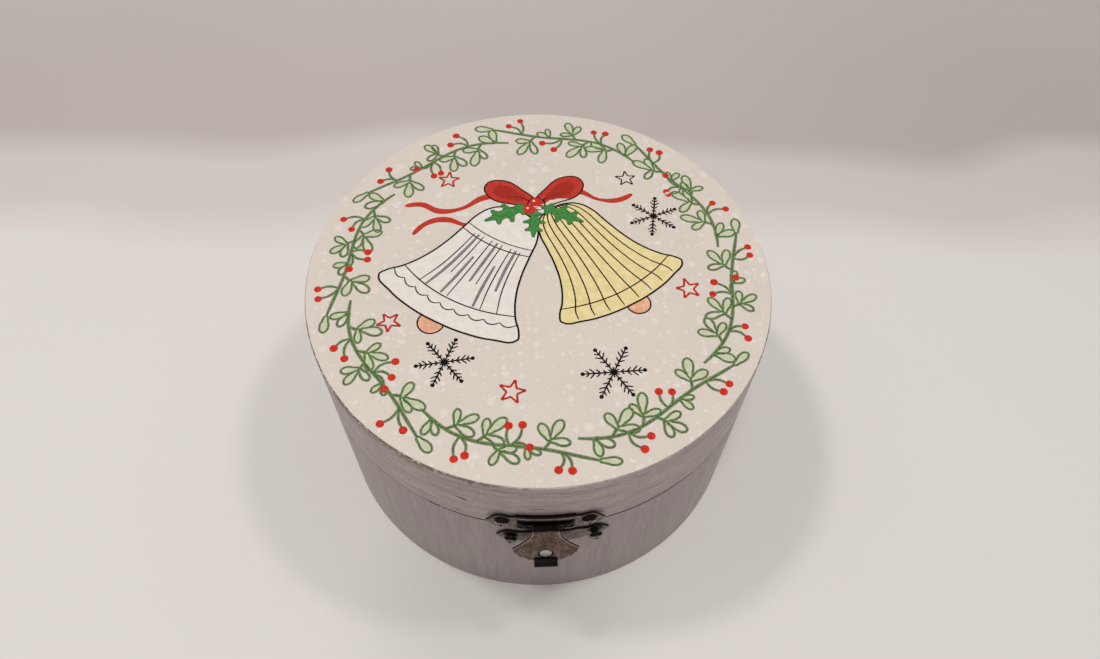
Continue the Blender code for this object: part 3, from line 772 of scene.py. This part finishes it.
def add_berries(place, direction, count):
    for number in range(count):
        turn = direction + (number - (count - 1) / 2) * 44 + hand.uniform(-6, 6)
        reach = hand.uniform(5.0, 7.2)
        curl = hand.choice((-1, 1)) * hand.uniform(0.7, 1.2)
        berry = ahead(place, turn, reach, curl)
        middle = ahead(place, turn, reach * 0.5, -curl * 0.5)
        green_lines.append(([place, middle, berry], 0.55, False))
        berries.append(berry)


def heading_of(way):
    """The direction of a step, in degrees."""
    return math.degrees(math.atan2(way.y, way.x))


SHOOTS = 8
JOBS = ("pair", "sprig", "berries", "sprig", "sprig", "berries", "pair", "sprig", "berries", "")
for shoot in range(SHOOTS):
    first = shoot * 360 / SHOOTS + 9
    spine = []
    for step in range(12):
        share = step / 11
        angle = math.radians(first + share * 49)
        radius = 56.5 + 7.5 * share**2 + 1.8 * math.sin(share * math.pi * 2)
        spine.append(Vector((radius * math.cos(angle), radius * math.sin(angle))))
    green_lines.append((spine, 0.66, False))
    for step, kind in enumerate(JOBS, 1):
        side = 1 if step % 2 else -1
        # The stem runs round to the left, so a turn to the right leads outwards.
        lean = heading_of(spine[step + 1] - spine[step - 1]) - side * hand.uniform(46, 62)
        # Near the end of a shoot little room is left outside it.
        room = 0.62 if side > 0 and step > 5 else 0.84 if side > 0 else 1.0
        if kind == "sprig":
            add_sprig(spine[step], lean, room)
        elif kind == "pair":
            add_pair(spine[step], lean, room)
        elif kind == "berries":
            add_berries(spine[step], lean, 2 if side > 0 else hand.choice((2, 3)))
    add_leaf(spine[11], heading_of(spine[11] - spine[10]) + 10, 6.2)

leaf_green = crayon("crayon_green", (0.056, 0.118, 0.032), (0.155, 0.305, 0.080), 1700.0)
leaf_breath = crayon("crayon_pale_green", (0.500, 0.535, 0.350), (0.620, 0.590, 0.460), 900.0)
berry_red = crayon("crayon_red", (0.450, 0.018, 0.010), (0.660, 0.045, 0.024), 1500.0)
breath_lines = [(points, width * 1.8, closed) for points, width, closed in green_lines]
draw_lines("garland_breath", breath_lines, 0.0, leaf_breath)
fill_shapes("garland_tints", leaf_tints, 0.6 * INK, leaf_breath)
draw_lines("garland_lines", green_lines, 1.6 * INK, leaf_green)
berry_dots = [round_dot(berry, hand.uniform(1.05, 1.2)) for berry in berries]
fill_shapes("garland_berries", berry_dots, 2.6 * INK, berry_red)


# Printed snowflakes and stars
# Fine six-armed flakes in black pen, each arm with four pairs of needles and a dot at its tip,
# and small five-pointed stars drawn in one red or black line.
black_lines = []
black_dots = []


def add_stroke(start, way, reaches, width):
    """A straight pen stroke from a place in a direction, through points at some reaches."""
    black_lines.append(([ahead(start, way, reach) for reach in reaches], width, False))


def add_flake(centre, size, turn):
    for arm in range(6):
        way = turn + arm * 60
        add_stroke(centre, way, (0.0, size * 0.5, size * 0.95), 0.54)
        black_dots.append(round_dot(ahead(centre, way, size), 0.62))
        for share, length in ((0.24, 0.13), (0.42, 0.20), (0.60, 0.25), (0.78, 0.17)):
            needle = (0.0, size * length / 2, size * length)
            for side in (-1, 1):
                add_stroke(ahead(centre, way, size * share), way + side * 46, needle, 0.46)
    for arm in range(12):
        add_stroke(centre, turn + arm * 30, (0.0, size * 0.1, size * 0.2), 0.5)


add_flake((-27.5, -31.0), 8.0, 8)
add_flake((37.0, 22.0), 7.6, 21)
add_flake((20.0, -35.5), 8.8, 3)


def star(centre, size, turn):
    """The outline of a star, with two points between each two corners to keep its sides flat."""
    corners = []
    for corner in range(10):
        reach = size * (1.0 if corner % 2 == 0 else 0.46) * hand.uniform(0.94, 1.06)
        corners.append(ahead(centre, turn + corner * 36, reach))
    outline = []
    for (x, y), (next_x, next_y) in zip(corners, corners[1:] + corners[:1]):
        outline += [(x, y), ((x * 2 + next_x) / 3, (y * 2 + next_y) / 3)]
        outline.append(((x + next_x * 2) / 3, (y + next_y * 2) / 3))
    return outline


STARS = [
    ((-28.5, 39.0), 3.4, 14), ((44.5, -7), 3.6, 30), ((-8.5, -41), 3.7, 4), ((-44, -17), 3.3, 50),
]
red_lines = [(star(*place), 0.62, True) for place in STARS]
black_lines.append((star((29.5, 38.5), 3.2, 20), 0.44, True))
pen_black = crayon("pen_black", (0.003, 0.002, 0.0015), (0.010, 0.008, 0.006))
draw_lines("flake_lines", black_lines, 0.0, pen_black)
fill_shapes("flake_dots", black_dots, INK, pen_black)
draw_lines("star_lines", red_lines, 0.0, berry_red)


# Printed bells
# A yellow and a white bell hang from a red bow, under a sprig of holly. They are filled with flat
# colour and outlined with a black pen, with grey strokes for shade.

# The right half of a bell that is one unit high: its side from the crown down, and its mouth.
PROFILE = [
    (0.00, 0.00), (0.10, -0.015), (0.19, -0.07), (0.25, -0.18), (0.28, -0.34),
    (0.315, -0.52), (0.375, -0.70), (0.46, -0.85), (0.545, -0.95), (0.56, -1.00),
]
MOUTH = [(0.42, -1.075), (0.22, -1.125), (0.0, -1.14)]


def bell_frame(crown, tilt, size):
    """Return what lands a point of an upright bell on the paper. The bell's crown is at the
    origin, its mouth one unit below, and the mouth swings to the right by the tilt in degrees."""
    return lambda point: ahead(crown, tilt, point[0] * size, point[1] * size)


def bell_outline(land):
    right = PROFILE[1:] + MOUTH
    left = [(-x, y) for x, y in reversed(right[:-1])]
    return [land(point) for point in [PROFILE[0]] + right + left]


def bell_rib(land, share, start=0, end=10):
    """A line from crown to mouth, at a share of the bell's half width."""
    ribs = [(x * share, y - 0.115 * (1 - share * share) * (-y) ** 3) for x, y in PROFILE[start:end]]
    return [land(point) for point in ribs]


def bell_hoop(land, x, y, sag):
    """A line across the bell at a half width and a height."""
    shares = (-1, -0.66, -0.33, 0, 0.33, 0.66, 1)
    return [land((x * share, y - sag * (1 - share * share))) for share in shares]


gold = bell_frame((5.5, 26.5), 30, 39)
gold_line = bell_outline(gold)
gold_lines = [
    (bell_rib(gold, share), 0.43, False)
    for share in (-0.78, -0.56, -0.34, -0.12, 0.12, 0.34, 0.56, 0.78)
]
gold_lines += [(bell_hoop(gold, 0.50, -0.90, 0.10), 0.44, False), (gold_line, 0.58, True)]

snow = bell_frame((-5.5, 25.0), -31, 43)
snow_line = bell_outline(snow)
snow_lines = [(snow_line, 0.58, True)]
for x, y, sag, width in (
    (0.455, -0.84, 0.095, 0.43),
    (0.285, -0.34, 0.045, 0.43),
    (0.27, -0.28, 0.04, 0.36),
):
    snow_lines.append((bell_hoop(snow, x, y, sag), width, False))
# A row of nine scallops runs along the white bell's mouth.
for number in range(9):
    middle = (number + 0.5) / 9 * 2 - 1
    scallop = []
    for part in (-1, -0.5, 0, 0.5, 1):
        share = middle + part / 9
        dip = 0.098 * (1 - share * share) + 0.028 * (1 - part * part)
        scallop.append(snow((0.50 * share, -0.895 - dip)))
    snow_lines.append((scallop, 0.40, False))
for share, start, end in (
    (-0.62, 4, 8), (-0.36, 4, 7), (-0.1, 4, 8), (0.2, 4, 7), (0.46, 4, 8), (0.72, 4, 8),
):
    snow_lines.append((bell_rib(snow, share, start, end), 0.40, False))
shade_lines = []
for share, start, end in ((-0.50, 4, 8), (-0.22, 5, 8), (0.06, 4, 7), (0.34, 5, 8), (0.60, 4, 7)):
    shade_lines.append((bell_rib(snow, share, start, end), 0.95, False))

peach = crayon("crayon_peach", (0.66, 0.33, 0.20), (0.82, 0.46, 0.31), 500.0)
yellow = crayon("crayon_yellow", (0.72, 0.585, 0.270), (0.80, 0.675, 0.370), 400.0)
white = crayon("crayon_white", (0.715, 0.660, 0.600), (0.775, 0.725, 0.668), 400.0)
grey = crayon("crayon_grey", (0.13, 0.13, 0.135), (0.33, 0.33, 0.33))
clappers = [round_dot(gold((0.03, -1.16)), 3.6), round_dot(snow((-0.02, -1.16)), 3.9)]
fill_shapes("bell_clappers", clappers, 0.0, peach)
draw_lines("bell_clapper_lines", [(clapper, 0.46, True) for clapper in clappers], INK, pen_black)
fill_shapes("gold_bell", [gold_line], 1.6 * INK, yellow)
draw_lines("gold_bell_lines", gold_lines, 2.4 * INK, pen_black)
fill_shapes("snow_bell", [snow_line], 3.6 * INK, white)
draw_lines("snow_bell_shade", shade_lines, 4.2 * INK, grey)
draw_lines("snow_bell_lines", snow_lines, 4.6 * INK, pen_black)


# Printed bow and holly
# A red ribbon is tied in a bow over the bells, and its tails curl away, two to the left and one to
# the right. Three green holly leaves and three berries are tucked into it.
def ribbon(points, widths):
    """The outline of a ribbon along a centre line, wide or narrow from point to point."""
    edges = ([], [])
    for number, (place, width) in enumerate(zip(points, widths)):
        before = Vector(points[max(number - 1, 0)])
        after = Vector(points[min(number + 1, len(points) - 1)])
        way = (after - before).normalized()
        aside = Vector((-way.y, way.x)) * width / 2
        edges[0].append(Vector(place) + aside)
        edges[1].append(Vector(place) - aside)
    return edges[0] + edges[1][::-1]


left_tail = [(-2, 28), (-9, 31.5), (-17, 31), (-24, 26.5), (-31, 25.5), (-37, 28.5), (-42, 28)]
low_tail = [(-2, 27), (-8, 26), (-15, 21), (-22, 19.5), (-29, 22), (-35, 20.5), (-39, 16)]
right_tail = [(1, 28), (7, 32.5), (14, 33), (20, 29.5), (26, 29), (31, 31.5)]
tails = [
    ribbon(left_tail, (0.8, 2.0, 2.4, 1.4, 2.2, 2.0, 0.6)),
    ribbon(low_tail, (0.8, 1.8, 2.2, 1.4, 2.2, 1.8, 0.6)),
    ribbon(right_tail, (0.8, 2.0, 2.2, 1.2, 2.0, 0.6)),
]
ribbon_red = crayon("ribbon_red", (0.42, 0.028, 0.016), (0.56, 0.055, 0.032), 1400.0)
fill_shapes("ribbon_tails", tails, 1.2 * INK, ribbon_red)
loops = [
    [(-1, 28), (-5, 34.5), (-11.5, 38.5), (-16.5, 36.5), (-15, 31), (-8.5, 28.2)],
    [(0, 28), (3, 34.5), (9, 39.5), (14.5, 38.5), (14.5, 33), (8, 28.8)],
]
insides = []
for loop in loops:
    centre = sum((Vector(point) for point in loop), Vector((0, 0))) / len(loop)
    insides.append([centre.lerp(Vector(point), 0.60) for point in loop])
bow = [*loops, [(-2.2, 26.0), (-2.6, 29.0), (0.3, 30.6), (2.4, 29.0), (2.0, 26.2), (-0.2, 25.4)]]
folds = [[(-1.2, 28.4), (-5.5, 31.0), (-9.5, 31.6)], [(1.0, 28.6), (5.0, 31.4), (8.8, 32.4)]]
bow_lines = [(part, 0.46, True) for part in bow] + [(fold, 0.43, False) for fold in folds]
dark_red = crayon("ribbon_dark_red", (0.30, 0.020, 0.014), (0.42, 0.035, 0.022))
fill_shapes("ribbon_bow", bow, 5.0 * INK, ribbon_red)
fill_shapes("ribbon_bow_insides", insides, 5.4 * INK, dark_red)
draw_lines("ribbon_bow_lines", bow_lines, 5.6 * INK, pen_black)

# A holly leaf has three sharp spikes on each side, and hollows between them.
HOLLY = both_sides([
    (0.10, 0.16), (0.22, 0.62), (0.26, 0.34), (0.38, 0.40), (0.50, 0.92),
    (0.54, 0.44), (0.66, 0.42), (0.77, 0.72), (0.80, 0.26), (0.90, 0.14),
])
leaves = []
ribs = []
for way, length, width in ((203, 15.5, 9.0), (332, 15.0, 8.6), (266, 12.0, 7.6)):
    stalk = ahead((-0.5, 28.0), way, 2.0)
    leaves.append([ahead(stalk, way, length * a, width * b / 2) for a, b in HOLLY])
    rib = ((1, 0), (length * 0.5, 0.5), (length * 0.86, 0))
    ribs.append([ahead(stalk, way, along, aside) for along, aside in rib])
holly_green = crayon("holly_green", (0.030, 0.165, 0.035), (0.085, 0.290, 0.075), 1200.0)
dark_green = crayon("pen_dark_green", (0.008, 0.045, 0.012), (0.016, 0.075, 0.020))
holly_lines = [(leaf, 0.28, True) for leaf in leaves] + [(rib, 0.3, False) for rib in ribs]
fill_shapes("holly_leaves", leaves, 6.2 * INK, holly_green)
draw_lines("holly_lines", holly_lines, 6.4 * INK, dark_green)
fruit = [(-2.4, 25.6), (1.6, 25.2), (-0.3, 28.6)]
fill_shapes("holly_berries", [round_dot(place, 2.0) for place in fruit], 7.2 * INK, berry_red)
glints = [round_dot((x - 0.6, y + 0.6), 0.42) for x, y in fruit]
fill_shapes("holly_berry_glints", glints, 7.5 * INK, white)


# Hinge
# A small butt hinge of thin steel with a dark bronze finish. Its knuckles are rolled round a pin,
# and four small screws with crossed slots hold the two leaves on the planed flat.


def worked_copy(node, body, break_edges=True):
    """Take a fitting over from the solids: join its loose faces, break its sharp edges as tumbling
    does, and let its bends shade smoothly. Without broken edges its sheet stays as it was cut."""
    name = node + "_worked"
    made = bpy.data.objects.new(name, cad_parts[node].data.copy())
    bpy.context.scene.collection.objects.link(made)
    made.data.materials.clear()
    activate(made)
    bpy.ops.mesh.customdata_custom_splitnormals_clear()
    bpy.ops.object.mode_set(mode="EDIT")
    bpy.ops.mesh.select_all(action="SELECT")
    bpy.ops.mesh.remove_doubles(threshold=0.000002)
    if break_edges:
        bpy.ops.mesh.dissolve_limited(angle_limit=math.radians(0.5))
    bpy.ops.object.mode_set(mode="OBJECT")
    if break_edges:
        sharp = {"limit_method": "ANGLE", "angle_limit": math.radians(50)}
        work(made, "BEVEL", width=0.00007, segments=2, **sharp)
    smooth(made)
    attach(made, body)
    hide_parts(node)
    return made


# Patina: it is mottled, it stays dark in hollows, and handling has rubbed the edges. Where a piece
# faces up, the dark reflection of the dim ceiling is painted into it.
patina, given, result = new_group(
    "patina",
    {"Offset": 0.0, "Hollows": 1.0, "Tilt": 0.22},
    ["Mottle", "Specks", "Dark", "Rubbed"],
)
place = add_node(patina, "TexCoord").outputs
moved = vector_node(patina, "ADD", place["Object"], given["Offset"])
clouds = noise(patina, moved, 380.0, 4.0, 0.65)
grain = noise(patina, moved, 1300.0, 3.0, 0.65)
ragged = spread(patina, clouds, 0.3, 0.7, -0.08, 0.08)
# Painted reflection: where a piece faces up, it is painted dark.
faces_up = plus(patina, parts(patina, place["Normal"])["Z"], ragged)
upper = spread(patina, faces_up, given["Tilt"], plus(patina, given["Tilt"], 0.33))
open_air = add_node(patina, "AmbientOcclusion", {"Distance": 0.0007}, samples=6).outputs["AO"]
hollow = times(patina, fade(patina, open_air, 0.35, 0.75), given["Hollows"])
rounded = add_node(patina, "Bevel", {"Radius": 0.0005}, samples=4).outputs["Normal"]
level = add_node(patina, "NewGeometry").outputs["Normal"]
alike = vector_node(patina, "DOT_PRODUCT", rounded, level, output="Value")
edge = fade(patina, alike, 0.93, 0.998)
masks = {
    "Mottle": spread(patina, clouds, 0.34, 0.66),
    "Specks": spread(patina, grain, 0.42, 0.62),
    "Dark": math_node(patina, "MAXIMUM", upper, hollow),
    "Rubbed": times(patina, edge, spread(patina, grain, 0.3, 0.6)),
}
plug_in(patina, result, masks)


def aged_bronze(
    name, deep, raised, offset, hollows=1.0, tilt=0.22, painted_shade=None, struck=None, rubbed=None
):
    """Thin sheet with a dark lacquered bronze finish. Its tone varies between two colours. Its
    patina is nearly black in hollows, where it faces up by more than the tilt a dark reflection is
    painted nearly black, and it is bright on rubbed edges. The painted shade, struck and rubbed
    arguments make masks of painted shade and reflection, painted black, of what is struck into the
    sheet, and of what is painted lighter, where it is rubbed and as painted light."""
    made, tree, shader = new_material(name)
    masks = use_group(tree, patina, {"Offset": offset, "Hollows": hollows, "Tilt": tilt})
    colour = mix_colours(tree, masks["Mottle"], deep, raised)
    speckle = spread(tree, masks["Specks"], 0.0, 1.0, 0.0, 0.75)
    colour = mix_colours(tree, speckle, colour, toned(deep, 0.4))
    # Lighter bronze is painted where it is rubbed, and as painted light.
    if rubbed:
        colour = mix_colours(tree, rubbed(tree), colour, (0.36, 0.28, 0.235))
    # Painted shade and dark reflection turn the colour nearly black, as the patina does in hollows.
    dark = masks["Dark"]
    if painted_shade:
        dark = math_node(tree, "MAXIMUM", dark, painted_shade(tree))
    colour = mix_colours(tree, times(tree, dark, 0.985), colour, (0.005, 0.003, 0.0028))
    bright = times(tree, masks["Rubbed"], spread(tree, dark, 0.0, 1.0, 0.75, 0.08))
    colour = mix_colours(tree, bright, colour, (0.46, 0.385, 0.335))
    relief = plus(tree, times(tree, masks["Specks"], -0.4), masks["Mottle"])
    if struck:
        lines = struck(tree)
        colour = mix_colours(tree, times(tree, lines, 0.65), colour, (0.03, 0.018, 0.013))
        relief = math_node(tree, "SUBTRACT", relief, times(tree, lines, 3.0))
    coat = {
        "Base Color": colour,
        "Roughness": spread(tree, dark, 0.0, 1.0, 0.42, 0.62),
        "Metallic": 0.6,
        "Specular IOR Level": 0.15,
        "Normal": bump(tree, relief, 0.4, 0.00003),
    }
    plug_in(tree, shader, coat)
    return made


PLATE_DEEP = (0.135, 0.094, 0.078)
PLATE_RAISED = (0.250, 0.192, 0.168)
hinge_bronze = aged_bronze("hinge_bronze", PLATE_DEEP, PLATE_RAISED, 2.0)
screw_bronze = aged_bronze("screw_bronze", (0.30, 0.255, 0.230), (0.60, 0.54, 0.50), 5.0, tilt=0.14)
for node, body in (("hinge_leaf_lower", "box"), ("hinge_leaf_upper", "lid"), ("hinge_pin", "box")):
    worked_copy(node, body).data.materials.append(hinge_bronze)


def add_screws(name, body):
    """The left and the right screw of a fitting."""
    for side in ("left", "right"):
        worked_copy(name + side, body).data.materials.append(screw_bronze)


add_screws("hinge_screw_lower_", "box")
add_screws("hinge_screw_upper_", "lid")


# Catch plate
# A strip of the same sheet with pointed ears, screwed on the body a little askew. Its tongue lies
# behind the hasp and carries a flat nib, which the hasp's hole has polished bright.
NIB = Vector((0.0, -0.0750, 0.04595))


def off_axis(tree, where, spot):
    """How far a place lies from a spot, as seen from the front."""
    flat = vector_node(tree, "MULTIPLY", where, (1.0, 0.0, 1.0))
    return vector_node(tree, "DISTANCE", flat, (spot[0], 0.0, spot[1]), "Value")


def shadows_above_screws(name):
    """Return what makes a mask of the shadows painted above a fitting's two screws."""
    def mask(tree):
        where = own_place(tree)
        both = 0.0
        for side in ("left", "right"):
            low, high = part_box(name + side)
            off = off_axis(tree, where, ((low.x + high.x) / 2, (low.z + high.z) / 2 + 0.0016))
            both = math_node(tree, "MAXIMUM", fade(tree, off, 0.0018, 0.0026), both)
        return both

    return mask


def on_nib(face):
    """Whether a face of the catch plate belongs to the nib, and not to the tongue behind it."""
    reach = [catch.data.vertices[number].co - NIB for number in face.vertices]
    return int(all(abs(step.y) < 0.0012 and step.xz.length < 0.00195 for step in reach))


# Painted shadows lie on the catch plate above its screws.
painted_shade = shadows_above_screws("catch_screw_")
catch_bronze = aged_bronze("catch_bronze", PLATE_DEEP, PLATE_RAISED, 9.0, painted_shade=painted_shade)
polished, tree, shader = new_material("polished_nib")
scuffs = noise(tree, own_place(tree), 1500.0, 3.0, 0.6)
scuffed = spread(tree, scuffs, 0.35, 0.65)
coat = {
    "Base Color": mix_colours(tree, scuffed, (0.46, 0.41, 0.385), (0.60, 0.54, 0.51)),
    "Roughness": spread(tree, scuffs, 0.3, 0.7, 0.30, 0.42),
    "Metallic": 0.25,
}
plug_in(tree, shader, coat)
catch = worked_copy("catch_plate", "box")
give_materials(catch, [catch_bronze, polished], on_nib)
add_screws("catch_screw_", "box")


# Clasp plate
# A plate of the same sheet, screwed on the lid. Its middle is raised, where two slits free a narrow
# bar for the hasp to turn on. The deep shade inside its window is painted almost black.


def clasp_shade(tree):
    """Painted shade on the clasp: in its window, soft at the sides, and above its screws."""
    sides = parts(tree, own_place(tree))
    shade = fade(tree, math_node(tree, "ABSOLUTE", sides["X"]), 0.0078, 0.0086)
    for edge, blur in ((0.0551, 0.00015), (0.0612, -0.00015)):
        shade = times(tree, shade, spread(tree, sides["Z"], edge - blur, edge + blur))
    shade = times(tree, shade, at_front(tree, sides))
    return math_node(tree, "MAXIMUM", shade, shadows_above_screws("clasp_screw_")(tree))


def clasp_rubbed_and_highlit(tree):
    """Where the clasp is rubbed, with a painted highlight: the top edge of its strip, and its foot
    by the hasp.
    """
    sides = parts(tree, own_place(tree))
    across = math_node(tree, "ABSOLUTE", sides["X"])
    top = spread(tree, sides["Z"], 0.06185, 0.06215)
    top = times(tree, top, fade(tree, across, 0.0080, 0.0100))
    foot = fade(tree, sides["Z"], 0.05385, 0.05415)
    foot = times(tree, foot, fade(tree, across, 0.0110, 0.0125))
    return times(tree, math_node(tree, "MAXIMUM", top, foot), 0.85)


clasp = worked_copy("clasp_plate", "lid", break_edges=False)
clasp_bronze = aged_bronze(
    "clasp_bronze", PLATE_DEEP, PLATE_RAISED, 4.0, painted_shade=clasp_shade, rubbed=clasp_rubbed_and_highlit
)
clasp.data.materials.append(clasp_bronze)
add_screws("clasp_screw_", "lid")


# Painted shade behind the clasp
# A matt black film lies on the lid's wall, in the hollow behind the raised strip, as painted
# shade. It is two hundredths of a millimetre thick.
SHADE_FILM_FOOT, SHADE_FILM_TOP = 0.0548, 0.0620
SHADE_FILM_HALF_WIDTH = 0.0084
shade_film = turned(
    "clasp_painted_shade", BOX_RADIUS + 0.00003, SHADE_FILM_FOOT, SHADE_FILM_TOP, ends="NOTHING", sides=3 * WALL_SIDES
)


def beside_clasp(face):
    """Whether a face of the film lies at the back of the box or beside the clasp's middle."""
    middle = face.calc_center_median()
    return middle.y > 0 or abs(middle.x) > SHADE_FILM_HALF_WIDTH


take_up(shade_film, "FACE", beside_clasp)
bpy.ops.mesh.delete(type="FACE")
bpy.ops.object.mode_set(mode="OBJECT")
work(shade_film, "SOLIDIFY", thickness=0.00002, offset=-1)
smooth(shade_film)
shade_black, tree, shader = new_material("clasp_painted_shade")
patches = spread(tree, noise(tree, own_place(tree), 900.0), 0.35, 0.65)
colour = mix_colours(tree, patches, (0.004, 0.002, 0.002), (0.014, 0.008, 0.006))
plug_in(tree, shader, {"Base Color": colour, "Roughness": 1.0, "Specular IOR Level": 0.0})
shade_film.data.materials.append(shade_black)
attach(shade_film, "lid")


# Hasp
# A fan of the same sheet with a scalloped edge. Its neck is curled round the clasp's bar, its foot
# is rolled into a finger lip, and two small curved lines are struck across it above the hole.
LEAN = math.radians(8)


def struck_lines(tree):
    """A mask of two short arcs, one under the other, each hollow side up."""
    sides = parts(tree, own_place(tree))
    across = apart(tree, sides["X"], 0.0002)
    both = 0.0
    for centre, radius, reach in ((0.0566, 0.0041, 0.0017), (0.0531, 0.0029, 0.0020)):
        up = math_node(tree, "SUBTRACT", sides["Z"], centre)
        square = plus(tree, times(tree, across, across), times(tree, up, up))
        off = apart(tree, math_node(tree, "SQRT", square), radius)
        line = fade(tree, off, 0.00005, 0.00022)
        ends = fade(tree, across, reach * 0.6, reach)
        line = times(tree, line, math_node(tree, "LESS_THAN", up, 0.0), ends)
        both = math_node(tree, "MAXIMUM", line, both)
    return both


def painted_light_patch(tree):
    """A mask of the light painted round the hole, over the lip, where it lightens the lip's shade.
    """
    sides = parts(tree, own_place(tree))
    across = fade(tree, math_node(tree, "ABSOLUTE", sides["X"]), 0.0028, 0.0046)
    return times(tree, across, spread(tree, sides["Z"], 0.0450, 0.0495, 0.9, 0.0))


def lip_shade(tree):
    """The rolled lip is painted black all over as shade and dark reflection, and a narrow ring
    round the hole as the shadow of its gap.
    """
    where = own_place(tree)
    sides = parts(tree, where)
    across = fade(tree, math_node(tree, "ABSOLUTE", sides["X"]), 0.0034, 0.0036)
    out = fade(tree, sides["Y"], -0.0758, -0.0755)
    under = fade(tree, sides["Z"], 0.0436, 0.0439)
    lip = times(tree, across, math_node(tree, "MAXIMUM", out, under))
    ring = spread(tree, off_axis(tree, where, NIB.xz), 0.0022, 0.0025, 0.9, 0.0)
    return math_node(tree, "MAXIMUM", lip, ring)


def on_fan(face):
    """Whether a face lies flat on the front of the fan."""
    slope = abs(face.normal.z - math.sin(LEAN))
    return face.normal.y < -0.985 and slope < 0.05 and face.calc_area() > 4e-7


def rub_rim(piece, front, width, rubbed):
    """Part a narrow rim from the front faces of a sheet. Where rubbed(place) holds, the rim takes
    the second material."""
    take_up(piece, "FACE", front)
    shape = bmesh.from_edit_mesh(piece.data)
    for face in shape.faces:
        face.material_index = int(face.select)
    bpy.ops.mesh.inset(thickness=width, depth=0)
    shape = bmesh.from_edit_mesh(piece.data)
    for face in shape.faces:
        if face.select or not rubbed(face.calc_center_median()):
            face.material_index = 0
    bmesh.update_edit_mesh(piece.data)
    bpy.ops.object.mode_set(mode="OBJECT")


hasp_bronze = aged_bronze(
    "hasp_bronze",
    (0.090, 0.052, 0.034),
    (0.200, 0.134, 0.096),
    14.0,
    hollows=0.0,
    painted_shade=lip_shade,
    struck=struck_lines,
    rubbed=painted_light_patch,
)
rubbed_highlit_bronze = aged_bronze(
    "rubbed_highlit_bronze", (0.30, 0.245, 0.205), (0.46, 0.385, 0.335), 7.0, hollows=0.0
)
hasp = worked_copy("hasp_flap", "hasp")
for material in (hasp_bronze, rubbed_highlit_bronze):
    hasp.data.materials.append(material)
# The fan's rim is rubbed bright along both sides and round the corners, with a painted highlight.
rub_rim(hasp, on_fan, 0.00028, lambda place: abs(place.x) > 0.0030 and place.z > 0.0470)
